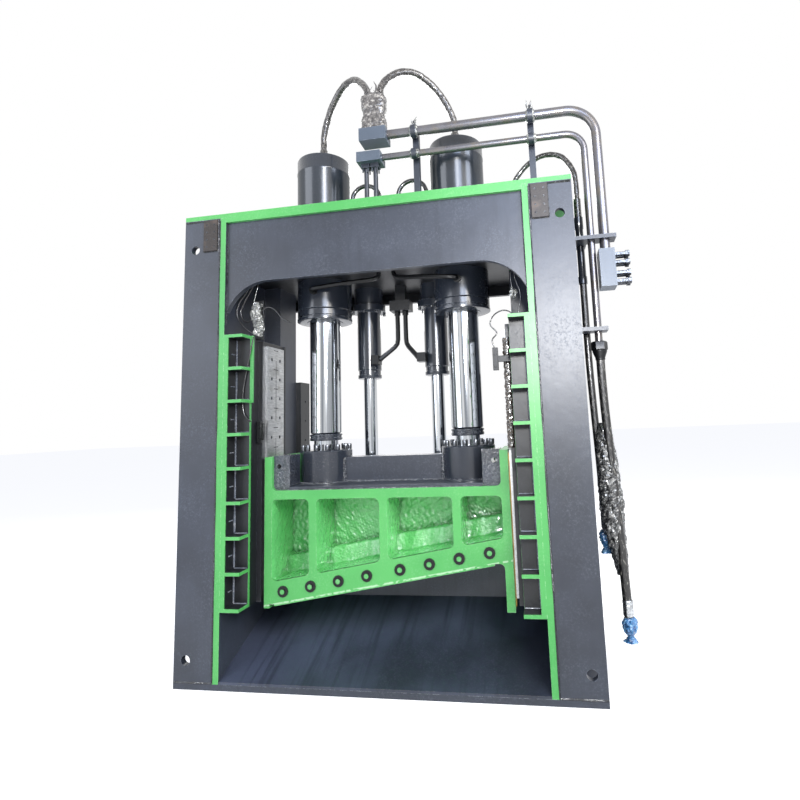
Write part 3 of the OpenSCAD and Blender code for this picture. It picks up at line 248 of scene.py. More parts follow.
def tube_uv(made, path, radius, sides):
    """UV map of a single tube: U is the way round it and V the way along it, in metres."""
    far = np.concatenate([[0], np.cumsum(np.linalg.norm(np.diff(path, axis=0), axis=1))])
    beside_seam = np.tile(np.arange(sides) == sides - 1, len(path) - 1)
    uv = np.zeros((len(made.data.loops), 2))
    starts = np.zeros(len(made.data.polygons), int)
    made.data.polygons.foreach_get("loop_start", starts)
    loops = np.zeros(len(made.data.loops), int)
    made.data.loops.foreach_get("vertex_index", loops)
    for corner in range(4):
        at = starts[:len(beside_seam)] + corner
        ring, column = np.divmod(loops[at], sides)
        column = np.where((column == 0) & beside_seam, sides, column)
        uv[at, 0] = column * 2 * np.pi * radius / sides
        uv[at, 1] = far[ring]
    layer = made.data.uv_layers.new(name="along")
    layer.data.foreach_set("uv", uv.ravel())


print("helpers ready")

# %% [markdown]
# ## Two free hoses
# Two black hoses hang beside the right column, waiting for the next machine's pipework. They are
# stiff hydraulic hoses of 44 and 52 mm, so they leave their fittings straight down, lean out
# slowly under their own weight and have no loop. The photograph shows each from end to end, so
# its length is the one seen. The route is the one that the CAD model uses.

# %% The free hoses
LONG_ROUTE = MM * np.array([
    [1405, -275, 1880], [1405, -275, 1780], [1408, -276, 1600], [1415, -280, 1400],
    [1424, -286, 1150], [1434, -293, 900], [1442, -299, 650], [1448, -303, 400],
])
SHORT_ROUTE = MM * np.array([
    [1345, -180, 2390], [1345, -180, 2290], [1344, -182, 2100], [1345, -190, 1850],
    [1350, -200, 1600], [1358, -212, 1300], [1366, -222, 870],
])
LONG_R, SHORT_R = 26 * MM, 22 * MM
HOSE_RINGS, HOSE_SIDES = 90, 24


def crumpled(path, radius, sides, depth, size, seed):
    """Tube whose radius is dented like twisted film: radius * (1 - depth * fold), where fold is
    one minus the root of a wave's size, which leaves sharp ridges between soft hollows."""
    round_it = tube(path, radius, sides, caps=False)[0]
    fold = 1 - np.sqrt(np.abs(lumps(round_it, size, seed)))
    fine_fold = 1 - np.sqrt(np.abs(lumps(round_it, size * 0.43, seed + 1)))
    dent = (depth * (fold + 0.5 * fine_fold)).reshape(len(path), sides)
    return tube(path, np.asarray(radius)[:, None] * (1 - dent), sides)


def free_hose(name, route, radius):
    """Hose along a route. Its length is that of the CAD model's line, which has three steps
    between two points of the route."""
    line = smooth_line(route, 3)
    path = even_line(smooth_line(route, 8), HOSE_RINGS)
    made = piece(name, tube(path, radius, HOSE_SIDES), "frame", replaces=[name])
    tube_uv(made, path, radius, HOSE_SIDES)
    length = float(np.linalg.norm(np.diff(line, axis=0), axis=1).sum())
    return made, path, length


long_hose, long_path, long_length = free_hose("hose_long", LONG_ROUTE, LONG_R)
short_hose, short_path, short_length = free_hose("hose_short", SHORT_ROUTE, SHORT_R)
print("long hose", round(long_length, 3), "m, short hose", round(short_length, 3), "m")

# %% [markdown]
# ### What is on the ends of the hoses
# Each hose ends in a crimped steel fitting, closed for transport with blue film that is twisted
# round it. Clear film is also wound round both hoses where they hang together. Cloth simulation
# could fold such film, but it is thin and stiff and has only small sharp folds, so a dented tube
# with flat faces catches the light in the same way.

# %% Hose ends and the film round the hoses
WRAP_RINGS, SLEEVE_RINGS = 60, 110
SLEEVE_TOP, SLEEVE_FOOT = 1.50, 0.62
SLEEVE_ASIDE = (-0.028, 0.036)  # from the middle of the long hose, because it holds both


def wrap_profile(steps, widths_mm):
    """Radius along a wrap: widths given at even steps, joined by straight lines."""
    at = np.linspace(0, len(widths_mm) - 1, steps)
    return np.interp(at, np.arange(len(widths_mm)), MM * np.array(widths_mm))


def upright(x, y, z_from, z_to, rings):
    """Straight path up or down at one place."""
    return np.stack([np.full(rings, x), np.full(rings, y), np.linspace(z_from, z_to, rings)], -1)


def end_wrap(name, end, seed):
    """Blue film twisted round the fitting: a bulb over the fitting's nut, drawn in below it,
    with the loose ends of the film spread under the twist."""
    path = upright(end[0], end[1], end[2] - 0.004, end[2] - 0.138, WRAP_RINGS)
    path[:, 0] += 0.004 * lumps(path, 0.12, seed)
    widths = wrap_profile(WRAP_RINGS, [30, 44, 50, 46, 50, 48, 38, 26, 20, 34, 44])
    bulb = crumpled(path, widths, 40, 0.22, 0.05, seed)
    return piece(name, bulb, "frame", replaces=[name], flat=True)


def crimp(end, hose_radius):
    """Crimped steel sleeve on the end of a hose, with sixteen pressed flats and a groove."""
    steps_mm = [(2, 0), (4, 8), (4, 60), (2, 64), (4, 68), (4, 84), (1, 88)]
    profile = [(hose_radius + r * MM, end[2] + 0.002 + z * MM) for r, z in steps_mm]
    return turned(profile, (end[0], end[1], 0), sides=16)


long_end, short_end = LONG_ROUTE[-1], SHORT_ROUTE[-1]
long_cap = end_wrap("hose_long_cap", long_end, 11)
short_cap = end_wrap("hose_short_cap", short_end, 12)
long_crimp = piece("hose_long_crimp", crimp(long_end, LONG_R), "frame")
short_crimp = piece("hose_short_crimp", crimp(short_end, SHORT_R), "frame")

sleeve_path = upright(*SLEEVE_ASIDE, SLEEVE_TOP, SLEEVE_FOOT, SLEEVE_RINGS)
for k in (0, 1):
    sleeve_path[:, k] += np.interp(sleeve_path[:, 2], LONG_ROUTE[::-1, 2], LONG_ROUTE[::-1, k])
sleeve_path[:, 0] += np.interp(sleeve_path[:, 2], [SLEEVE_FOOT, 0.9, SLEEVE_TOP],
                               [0.026, 0.004, 0.012])
sleeve_r = wrap_profile(SLEEVE_RINGS, [38, 52, 62, 68, 72, 76, 74, 70, 60, 48, 36])
film_sleeve = piece(
    "hose_film_sleeve", crumpled(sleeve_path, sleeve_r, 44, 0.16, 0.075, 21), "frame",
    flat=True,
)
print("hose ends:", long_end, short_end)

# %% [markdown]
# ## Light, floor and background
# The photograph has the machine against white. A sky texture would tint it, so the world is plain:
# white to the camera, to mirrors and through glass, and softer as light. Large lamps give the
# paint its slow change of tone from the right to the left, as in the photograph. Two more are
# seen only as reflections: the sheen on the upper right of the frame and glints on wet paint.

# %% Light and floor
WHITE = (1, 1, 1, 1)
SKY_LIGHT, FLOOR_GLOW = 0.62, 0.42
FLOOR_REACH = 60
LAMPS = [  # name, place, target, size, watts, colour and whether only gloss shows it
    ("key", (4.2, -5.2, 5.2), (0.2, 0, 1.5), 3.2, 420, "#fffaf2", False),
    ("fill", (-4.6, -4.4, 3.0), (0, 0, 1.4), 3.5, 150, "#eef4ff", False),
    ("back", (-1.5, 5.5, 5.0), (0, 0, 2.0), 3.5, 260, "#ffffff", False),
    ("sky", (3.4, -2.0, 3.8), (1.15, -0.5, 2.5), 1.2, 55, "#dfeaff", False),
    ("sheen", (1.9, -5.0, 4.2), (1.1, -0.5, 2.6), 2.4, 170, "#c9dcff", True),
    ("glint", (1.4, -4.2, 2.6), (0, -0.2, 1.0), 0.5, 260, "#ffffff", True),
]


def node(tree, kind, inputs=None, stops=None, **settings):
    """Adds a shader node with its settings. A socket as an input is linked, a value is set.
    stops are a colour ramp's places and colours."""
    made = tree.nodes.new("ShaderNode" + kind)
    for key, value in settings.items():
        setattr(made, key, value)
    for k, (place, colour) in enumerate(stops or []):
        ramp = made.color_ramp.elements
        stop = ramp[k] if k < 2 else ramp.new(place)
        stop.position, stop.color = place, colour
    for key, value in (inputs or {}).items():
        if isinstance(value, bpy.types.NodeSocket):
            tree.links.new(value, made.inputs[key])
        else:
            made.inputs[key].default_value = value
    return made


def maths(tree, operation, *values, clamp=False):
    """One number worked out from up to three."""
    made = node(tree, "Math", dict(enumerate(values)), operation=operation, use_clamp=clamp)
    return made.outputs[0]


def linear(code):
    """sRGB hex to linear RGBA: c/12.92 below 0.04045, else ((c + 0.055) / 1.055) ** 2.4."""
    parts = [int(code[k:k + 2], 16) / 255 for k in (1, 3, 5)]
    return tuple(c / 12.92 if c <= 0.04045 else ((c + 0.055) / 1.055) ** 2.4 for c in parts) + (1,)


def seen_by(tree, *kinds):
    """1 for rays of these kinds and 0 for all others."""
    ray = node(tree, "LightPath")
    seen = ray.outputs[kinds[0]]
    for kind in kinds[1:]:
        seen = maths(tree, "ADD", seen, ray.outputs[kind], clamp=kind == kinds[-1])
    return seen


def lamp(name, place, target, size, watts, colour, only_gloss):
    """Soft square lamp at a place, turned so that it shines at a target."""
    data = bpy.data.lights.new(name, "AREA")
    data.size, data.energy, data.color = size, watts, linear(colour)[:3]
    made = bpy.data.objects.new(name, data)
    away = np.subtract(place, target).astype(float)
    away /= np.linalg.norm(away)
    side = np.cross((0, 0, 1), away)
    side /= np.linalg.norm(side)
    up = np.cross(away, side)
    rows = [(s, u, a, p) for s, u, a, p in zip(side, up, away, place)]
    made.matrix_world = Matrix(rows + [(0, 0, 0, 1)])
    made.visible_diffuse = not only_gloss
    bpy.context.scene.collection.objects.link(made)


world = bpy.data.worlds.new("studio")
bpy.context.scene.world = world
world.use_nodes = True
sky = world.node_tree
sky.nodes.clear()
seen = seen_by(sky, "Is Camera Ray", "Is Glossy Ray", "Is Transmission Ray")
light = node(sky, "Background", {"Color": linear("#f4f7ff"), "Strength": SKY_LIGHT})
white = node(sky, "Background", {"Color": WHITE, "Strength": 1.0})
mixed = node(sky, "MixShader", {0: seen, 1: light.outputs[0], 2: white.outputs[0]})
node(sky, "OutputWorld", {"Surface": mixed.outputs[0]})
bpy.context.scene.view_settings.view_transform = "Standard"
for row in LAMPS:
    lamp(*row)

floor_mesh = bpy.data.meshes.new("floor")
ground_corners = [(x * FLOOR_REACH, y * FLOOR_REACH, 0)
                  for x, y in ((-1, -1), (1, -1), (1, 1), (-1, 1))]
floor_mesh.from_pydata(ground_corners, [], [(0, 1, 2, 3)])
floor = bpy.data.objects.new("floor", floor_mesh)
bpy.context.scene.collection.objects.link(floor)
pale = bpy.data.materials.new("pale painted floor")
pale.use_nodes = True
base = pale.node_tree
base.nodes.clear()
shade = node(base, "BsdfDiffuse", {"Color": linear("#f6f6f6")})
glow = node(base, "Emission", {"Color": WHITE, "Strength": FLOOR_GLOW})
seen = seen_by(base, "Is Camera Ray", "Is Glossy Ray")
glow_seen = node(base, "MixShader", {0: seen, 2: glow.outputs[0]})
both = node(base, "AddShader", {0: shade.outputs[0], 1: glow_seen.outputs[0]})
node(base, "OutputMaterial", {"Surface": both.outputs[0]})
floor_mesh.materials.append(pale)

# %% [markdown]
# ## Paint
# The frame is welded plate, brushed with a satin alkyd enamel over mill scale. Image textures
# would not be allowed to travel with the part, so each paint is worked out from noise whose size
# is given in millimetres: clouds of tone from uneven coats, runs down upright plates, fine dust,
# and bare edges where plates were knocked. The bare edge comes from comparing the true normal
# with one rounded over a few millimetres.

# %% Enamel
CLOUD_MM, RUN_MM, GRIT_MM, PATCH_MM, CHIP_MM, PEEL_MM = 650, 38, 11, 240, 26, 4
WORN_EDGE = 5 * MM
DUST_SHOWS, DUST_ROUGHENS = 0.55, 0.3
# Each palette has the tone, its shade, the dust and the bare edge.
DARK = ("#3a404d", "#282d38", "#747c8b", "#8d95a3")
# The darker palette below is painted shade on the parts inside the frame and on the ribs, and
# black sealer on the welds.
SHADE_AND_SEALER_DARK = ("#191c22", "#0f1115", "#3a3f49", "#5f6672")
GREEN = ("#57b55f", "#46a452", "#9bd6a0", "#cfeecd")
PAINTED_SHADE_GREEN = "#0f3d18"


def new_finish(name):
    material = bpy.data.materials.new(name)
    material.use_nodes = True
    tree = material.node_tree
    tree.nodes.clear()
    return material, tree, node(tree, "TexCoord").outputs["Object"]


def shaded(material, inputs):
    """Ends a finish with a Principled shader that has these inputs."""
    shader = node(material.node_tree, "BsdfPrincipled", inputs)
    node(material.node_tree, "OutputMaterial", {"Surface": shader.outputs[0]})
    return material


def band(tree, value, low, high):
    """0 below low, 1 above high, and a straight rise between."""
    return node(tree, "MapRange", {0: value, 1: low, 2: high}, clamp=True).outputs[0]


def mix(tree, share, first, second):
    made = node(tree, "Mix", {0: share, 6: first, 7: second}, data_type="RGBA")
    return made.outputs[2]


def times(tree, first, second):
    return maths(tree, "MULTIPLY", first, second)


def noise(tree, where, size_mm, detail, rough=0.5):
    """Noise whose marks are this many millimetres across."""
    made = node(tree, "TexNoise", {"Vector": where, "Scale": 1000 / size_mm, "Detail": detail,
                                   "Roughness": rough})
    return made.outputs[0]


def stretched(tree, where, scale, turn=0.0):
    """Place in which marks come out longer along each axis that has a small number."""
    made = node(tree, "Mapping", {"Vector": where, "Scale": scale, "Rotation": (0, 0, turn)})
    return made.outputs[0]


def bump(tree, height, strength, deep_mm, over=None):
    inputs = {"Height": height, "Strength": strength, "Distance": deep_mm * MM}
    if over is not None:
        inputs["Normal"] = over
    return node(tree, "Bump", inputs).outputs[0]


def enamel_colour(tree, where, colours, runs=0.35, wear=0.8, dark_corners=0.0,
                  drawn=(1, 1, 0.09)):
    """Colour of brushed enamel and where it is dusty: two tones in clouds, runs, dust and bare
    edges. runs and wear are how much the runs and the bare edges show, and drawn is how the runs
    are stretched. Near corners and in creases shade is painted darker, out to the reach given in
    metres."""
    tone, shade, dust, bare = (linear(code) for code in colours)
    tones = mix(tree, band(tree, noise(tree, where, CLOUD_MM, 6), 0.38, 0.64), tone, shade)
    run = noise(tree, stretched(tree, where, drawn), RUN_MM, 5)
    tones = mix(tree, times(tree, band(tree, run, 0.5, 0.68), runs), tones, shade)
    grit = band(tree, noise(tree, where, GRIT_MM, 9, 0.75), 0.5, 0.74)
    dusty = times(tree, grit, band(tree, noise(tree, where, PATCH_MM, 4), 0.36, 0.7))
    tones = mix(tree, times(tree, dusty, DUST_SHOWS), tones, dust)
    rounded = node(tree, "Bevel", {"Radius": WORN_EDGE}, samples=4)
    plain = node(tree, "NewGeometry")
    dot = node(tree, "VectorMath", {0: rounded.outputs[0], 1: plain.outputs["Normal"]},
               operation="DOT_PRODUCT")
    edge = band(tree, dot.outputs["Value"], 0.985, 0.86)
    chips = times(tree, edge, band(tree, noise(tree, where, CHIP_MM, 7, 0.7), 0.46, 0.6))
    tones = mix(tree, times(tree, chips, wear), tones, bare)
    # Painted shade: near corners and in creases, ambient occlusion darkens the colour to a deep
    # green.
    if dark_corners:
        closed = node(tree, "AmbientOcclusion", {"Distance": dark_corners}, samples=8)
        shadow = band(tree, closed.outputs["AO"], 0.75, 0.25)
        tones = mix(tree, times(tree, shadow, 0.6), tones, linear(PAINTED_SHADE_GREEN))
    return tones, dusty


def enamel_bump(tree, where, peel=0.12, waves=0.25, lump_mm=70, deep_mm=4):
    """Orange peel of the paint over the slow waves of the plate, which are deep_mm deep."""
    low = bump(tree, noise(tree, where, lump_mm, 4), waves, deep_mm)
    return bump(tree, noise(tree, where, PEEL_MM, 3), peel, 1, low)


def dusty_rough(tree, dusty, gloss):
    return maths(tree, "MULTIPLY_ADD", dusty, DUST_ROUGHENS, gloss)


def enamel(name, colours, gloss=0.4, coat=0.0, bumps=None, **marks):
    """Finished enamel. gloss is its roughness, from 0.16 for wet to 0.42 for satin. bumps goes
    to enamel_bump, and marks to enamel_colour."""
    material, tree, where = new_finish(name)
    colour, dusty = enamel_colour(tree, where, colours, **marks)
    return shaded(material, {
        "Base Color": colour, "Roughness": dusty_rough(tree, dusty, gloss), "Coat Weight": coat,
        "Coat Roughness": 0.08, "Normal": enamel_bump(tree, where, **(bumps or {})),
    })


dark_enamel = enamel("dark blue-grey enamel", DARK)
green_enamel = enamel("green enamel", GREEN, 0.42, runs=0.1, wear=0.5)
# The parts inside the frame get this darker copy of the dark enamel, as painted shade.
shaded_dark_enamel = enamel("dark enamel darkened as painted shade inside the frame", SHADE_AND_SEALER_DARK)
satin_enamel = enamel(
    "satin dark enamel on turned steel", ("#323843", "#2b303a", "#3d434e", "#b4bac4"), 0.2, 0.3,
    dict(waves=0.04, peel=0.03), runs=0.1)
# Its very pale dust tone is painted glints on the lumps as well as dust.
lumpy_enamel = enamel(
    "dark enamel on flame-cut lugs", ("#3f4654", "#20242c", "#d5d9e0", "#c3c8d0"), 0.16, 0.9,
    dict(waves=1.0, lump_mm=15, deep_mm=16))
seam_enamel = enamel("black sealer on welds, and painted shade in holes", SHADE_AND_SEALER_DARK, 0.22, bumps=dict(waves=1.0, lump_mm=10))
# The welds in the rib pockets are light grey as a painted highlight, with dust over it.
painted_highlight_seam = enamel(
    "dusty enamel on welds, lightened as painted highlight", ("#7d8594", "#59606d", "#c4c9d1", "#dfe2e6"), 0.25,
    bumps=dict(waves=0.8, lump_mm=10))
block_enamel = enamel("blue-grey enamel on blocks", ("#5f6b7b", "#525d6c", "#8791a0", "#aab3c2"))
chute_enamel = enamel(
    "scratched enamel on the chute", ("#434a5e", "#262b38", "#545b6e", "#6c6a66"), 0.34,
    runs=0.6, drawn=(1, 0.05, 0.05))
# The pocket walls' green is lighter than the ram's front, as painted light inside the pockets, and
# their corners get painted shade.
wet_green_painted_light = enamel(
    "wet green enamel on cast walls, lightened as painted light", ("#7ad985", "#5cbd69", "#b4f0b9", "#dcf8da"), 0.2, 0.8,
    dict(waves=1.0, lump_mm=19, deep_mm=10), dark_corners=0.07)
print("paints made:", len(bpy.data.materials))

# %% [markdown]
# ### Two colours on one plate
# The side walls, the ribs and the rails are dark, and only their front edges are painted green,
# by hand and not very straight. Splitting the plates would break the CAD model, so the material
# itself switches at a depth behind the front, and noise makes the line uneven.

# %% Two-tone enamel
RAKE = math.radians(10)
LOW_X, LOW_Z = -0.736, 0.421


def edge_z(x):
    """Height of the ram's raked lower edge: LOW_Z + (x - LOW_X) * tan(RAKE)."""
    return LOW_Z + (np.asarray(x) - LOW_X) * math.tan(RAKE)


def ram_paint(name):
    """Green enamel with the paint rubbed off in a thin pale line along the raked lower edge."""
    material, tree, where = new_finish(name)
    green, dusty = enamel_colour(tree, where, GREEN, runs=0.1, wear=0.6)
    place = node(tree, "SeparateXYZ", {0: where})
    level = maths(tree, "MULTIPLY_ADD", place.outputs["X"], -math.tan(RAKE), place.outputs["Z"])
    marks = noise(tree, where, 30, 6)
    above = maths(tree, "SUBTRACT", level, float(edge_z(0)))
    up = maths(tree, "MULTIPLY_ADD", marks, 0.012, above)
    stripe = times(tree, band(tree, up, 0.012, 0.014), band(tree, up, 0.026, 0.022))
    stripe = times(tree, stripe, band(tree, marks, 0.42, 0.5))
    return shaded(material, {
        "Base Color": mix(tree, times(tree, stripe, 0.55), green, linear("#d9f0d6")),
        "Roughness": dusty_rough(tree, dusty, 0.4), "Normal": enamel_bump(tree, where, 0.06, 0.15),
    })


def two_tone(name, depth, jag, dark, inner=0.0, inner_depth=0.0):
    """Dark enamel, green where Y is less than depth. jag is how far the line wanders. Nearer to
    the middle than inner, the green goes back to inner_depth."""
    material, tree, where = new_finish(name)
    dark, dusty = enamel_colour(tree, where, dark)
    green, _ = enamel_colour(tree, where, GREEN, runs=0.1, wear=0.5)
    place = node(tree, "SeparateXYZ", {0: where})
    line = maths(tree, "MULTIPLY_ADD", noise(tree, where, 22, 5), jag, place.outputs["Y"])
    limit = depth + jag / 2
    if inner:
        near = maths(tree, "LESS_THAN", maths(tree, "ABSOLUTE", place.outputs["X"]), inner)
        limit = maths(tree, "MULTIPLY_ADD", near, inner_depth - depth, limit)
    return shaded(material, {
        "Base Color": mix(tree, maths(tree, "LESS_THAN", line, limit), dark, green),
        "Roughness": dusty_rough(tree, dusty, 0.4), "Normal": enamel_bump(tree, where),
    })


wall_enamel = two_tone("enamel on the side walls", -0.4965, 0.005, DARK)
# The ribs' dark is the darker palette, as painted shade in the pockets between them.
rib_enamel = two_tone("enamel on the ribs", -0.492, 0.012, SHADE_AND_SEALER_DARK, 0.8625, -0.380)
ram_enamel = ram_paint("green enamel on the ram")
print("two-tone paints made")

# %% [markdown]
# ## Metal
# The rods are ground and hard-chromed, the wear plates are milled with a face cutter, the knives
# are surface-ground, and the pipes' fittings are blackened. Chrome is nearly a mirror: what shows
# on it is the dark frame and the white around the machine. Its default IOR stays, and only its
# roughness and tone change; the dark upright stripes in its tone are painted reflections.

# %% Metals
STAIN_MM = 90


def metal(name, tone, shade, rough, spread, size_mm, stretch=(1, 1, 1), metallic=1.0, dents=0.0,
          stain=None, stain_at=(0.6, 0.75)):
    """Bare metal whose tone and roughness change with one noise, drawn out by stretch."""
    material, tree, where = new_finish(name)
    marks = noise(tree, stretched(tree, where, stretch), size_mm, 6)
    colour = mix(tree, band(tree, marks, 0.35, 0.65), linear(tone), linear(shade))
    if stain:
        patches = band(tree, noise(tree, where, STAIN_MM, 8), *stain_at)
        colour = mix(tree, patches, colour, linear(stain))
    inputs = {"Base Color": colour, "Metallic": metallic,
              "Roughness": maths(tree, "MULTIPLY_ADD", marks, spread, rough)}
    if dents:
        inputs["Normal"] = bump(tree, marks, dents, 1)
    return shaded(material, inputs)


# The dark upright stripes in the chrome's colour are painted reflections of the frame.
chrome = metal("hard chrome, ground", "#dfe2e5", "#83888f", 0.05, 0.1, 24, (1, 1, 0.01), dents=0.3)
milled = metal("milled wear plate", "#c4c5c6", "#a2a4a6", 0.3, 0.2, 6, (1, 0.12, 1), dents=0.12,
               stain="#86857f", stain_at=(0.56, 0.8))
ground = metal("ground tool steel", "#8a8d90", "#6d7073", 0.25, 0.2, 8, (0.1, 1, 1), dents=0.1,
               stain="#4a4640", stain_at=(0.6, 0.8))
blackened = metal("blackened steel", "#1d1f22", "#0f1012", 0.25, 0.25, 12, metallic=0.4)
zinc = metal("bright zinc-plated steel", "#c9cccf", "#9a9ea3", 0.16, 0.2, 9, dents=0.05)
bronze = metal("machined bronze", "#a98a4e", "#7d6334", 0.3, 0.2, 10, (1, 1, 0.1), dents=0.1)
rusty = metal("plate with a brown film of rust", "#37302c", "#211c1b", 0.38, 0.3, 7, metallic=0.1,
              dents=0.5, stain="#4f433c", stain_at=(0.55, 0.7))
bolt_steel = metal("dark steel of socket screws", "#6b6e73", "#2c2e32", 0.2, 0.2, 9, metallic=0.9)
pipe_paint = metal("grey paint on drawn pipe", "#77767b", "#68676d", 0.2, 0.12, 90,
                   (1, 1, 0.3), metallic=0.5, dents=0.02, stain="#7d7466", stain_at=(0.5, 0.8))
print("metals made, finishes now:", len(bpy.data.materials))

# %% [markdown]
# ## Rubber, clear film and blue film
# Hydraulic hose is black rubber. Here it is wound with clear stretch film for transport: the film
# clings, so the hose stays dark, and the small white lights on its wrinkles are painted highlights
# in its colour. The pattern follows the hose, so it reads the hose's own UV map, which is in
# metres. Thick film in many layers turns grey, and shows dark where it is drawn tight; the white
# on every fold is a painted highlight.

# %% Rubber and film
def hose_under_film(name, tight, fold_highlight):
    """Black rubber under film, of one tone where the film is tight, lightened on its folds towards
    a pale tone as a painted highlight.
    """
    material, tree, _ = new_finish(name)
    along = node(tree, "UVMap", uv_map="along").outputs[0]
    wrinkle = noise(tree, stretched(tree, along, (1, 0.22, 1), 0.7), 9, 6, 0.7)
    patch = band(tree, noise(tree, along, 60, 3), 0.32, 0.52)
    # Painted highlights: the film's folds are lightened towards a pale tone.
    lights = times(tree, band(tree, wrinkle, 0.55, 0.65), patch)
    return shaded(material, {
        "Base Color": mix(tree, times(tree, lights, 0.8), linear(tight), linear(fold_highlight)),
        "Roughness": 0.38, "Coat Weight": 0.3, "Coat Roughness": 0.1,
        "Normal": bump(tree, wrinkle, 0.9, 3),
    })


def film(name, deep, middle, light, size_mm):
    """Film in layers: three tones by one noise, glossy on every fold. On the films, the lightest
    tone is a painted highlight on the folds.
    """
    material, tree, where = new_finish(name)
    fold = noise(tree, where, size_mm, 7, 0.72)
    tone = node(tree, "ValToRGB", {0: fold},
                [(0.40, linear(deep)), (0.66, linear(light)), (0.53, linear(middle))])
    return shaded(material, {
        "Base Color": tone.outputs[0], "Roughness": 0.24, "Coat Weight": 0.8,
        "Coat Roughness": 0.1, "Normal": bump(tree, fold, 0.7, 4),
    })


filmed_hose = hose_under_film("black rubber under clear film", "#0b0b0d", "#b9b6ae")
# The lightest tone of each film below is a painted highlight on its folds.
clear_film = film("crumpled clear film", "#35363a", "#80827f", "#e3e4e0", 16)
sleeve_film = film("clear film wound over hoses", "#1b1c1e", "#4d4f50", "#dfe0de", 22)
blue_film = film("blue film", "#1c4a7e", "#3f83bd", "#a9d3ee", 20)
top_film = film("clear film over dark rubber", "#242224", "#3f3c3c", "#a7a39e", 13)
grey_film = film("grey film in many layers", "#413f40", "#706d6c", "#d2cfca", 26)
dusty_rubber = film("black rubber with dust", "#0e0e10", "#1a1a1d", "#3a3a3d", 22)
old_grease = film("old grease", "#14110e", "#3a2c21", "#8d7358", 11)
for made, material in ((long_hose, filmed_hose), (short_hose, filmed_hose), (long_cap, blue_film),
                       (short_cap, blue_film), (long_crimp, zinc), (short_crimp, zinc),
                       (film_sleeve, sleeve_film)):
    made.data.materials.append(material)
print("hose finishes made")

# %% [markdown]
# ## Finishes of the CAD nodes
# Nodes whose shape is right keep their mesh and only get a finish.

# %% Finishes of the nodes
def paint(material, *names):
    for name in names:
        slots = NODES[name].data.materials
        slots.clear()
        slots.append(material)


paint(dark_enamel, "base_plate", "left_column", "right_column", "front_beam", "drop_pipes",
      "pipe_posts", "side_brackets", "ram_saddle", "cheek_boxes", "knife_beam")
paint(chute_enamel, "chute")
paint(shaded_dark_enamel, "rear_beam", "cylinder_web", "beam_diaphragms", "left_ram_guide",
      "right_ram_guide", "clamp_guides", "centre_manifold", "clamp_head")
paint(block_enamel, "upper_block", "lower_block", "side_block")
paint(wall_enamel, "side_walls")
paint(rib_enamel, "left_guide_ribs", "right_guide_ribs")
paint(green_enamel, "top_plate")
paint(ram_enamel, "ram")
paint(lumpy_enamel, "guide_lugs")
paint(milled, "left_liner", "right_liner")
paint(bronze, "ram_shoes")
paint(ground, "upper_knife", "lower_knife")
paint(blackened, "upper_knife_bolts", "lower_knife_bolts", "clamp_pipes", "head_pipes")
paint(rusty, "corner_pads")
paint(bolt_steel, "side_block_studs")
print("nodes painted")

# %% [markdown]
# ## Cylinders and rods
# The CAD model has its cylinders with few sides. Chrome shows each flat as a stripe, so rods,
# barrels, glands and sockets are turned again here from their profiles, as on a lathe, with the
# chamfers and grooves that such parts have. Subdividing the CAD mesh would round its hard edges.

# %% Main cylinders
MAIN, CLAMP = (0.517, 0.028, 0), (0.266, 0.285, 0)
LATHE_SIDES = 96


def turn_pair(name, profile, body, centre, material, hollow=True, replaces=(), extra=()):
    shapes = both_sides(turned(profile, centre, sides=LATHE_SIDES, hollow=hollow))
    for shape in extra:
        shapes += both_sides(shape)
    piece(name, shapes, body, material, replaces=replaces)


def screw_heads(count, ring, centre, z, radius, height):
    """Ring of socket-head cap screws: each has a knurled rim, a flat top and a key's recess."""
    turn = (np.arange(count) + 0.5) * 2 * np.pi / count
    r, h = radius, height
    profile = [(r * 0.97, z), (r, z + h * 0.06), (r, z + h * 0.84), (r * 0.9, z + h),
               (r * 0.56, z + h), (r * 0.52, z + h * 0.7)]
    return [turned(profile, (centre[0] + ring * np.cos(a), centre[1] + ring * np.sin(a), 0),
                   sides=20) for a in turn]


for side, name in ((1, "right_main_barrel"), (-1, "left_main_barrel")):
    shape = turned([
        (0.160, 2.386), (0.190, 2.386), (0.196, 2.392), (0.196, 3.440), (0.1985, 3.444),
        (0.1985, 3.453), (0.196, 3.457), (0.196, 3.544), (0.191, 3.555), (0.180, 3.560),
        (0.030, 3.560), (0.030, 3.586), (0.020, 3.586), (0.020, 3.450), (0.160, 3.450),
    ], (side * MAIN[0], MAIN[1], 0), sides=LATHE_SIDES, hollow=True)
    piece(name + "_turned", shape, "frame", satin_enamel, replaces=[name])
turn_pair("main_glands_turned", [
    (0.1108, 2.3055), (0.128, 2.3055), (0.130, 2.309), (0.190, 2.309), (0.198, 2.3125),
    (0.1985, 2.316), (0.1985, 2.329), (0.195, 2.332), (0.189, 2.334), (0.189, 2.340),
    (0.196, 2.343), (0.196, 2.381), (0.193, 2.3845), (0.1595, 2.3845), (0.1595, 2.413),
    (0.1108, 2.413),
], "frame", MAIN, satin_enamel, replaces=["main_glands"])
turn_pair("main_rods_turned", [
    (0.085, 1.200), (0.0855, 1.4955), (0.100, 1.497), (0.110, 1.504), (0.110, 2.4145),
    (0.158, 2.4165), (0.1585, 2.564), (0.090, 2.566), (0.090, 2.625),
], "ram", MAIN, chrome, hollow=False, replaces=["main_rods"])
turn_pair("rod_collars", [
    (0.0857, 1.447), (0.110, 1.449), (0.1135, 1.453), (0.1135, 1.468), (0.109, 1.471),
    (0.109, 1.478), (0.1135, 1.481), (0.1135, 1.492), (0.108, 1.4955), (0.0857, 1.4955),
], "ram", MAIN, satin_enamel)
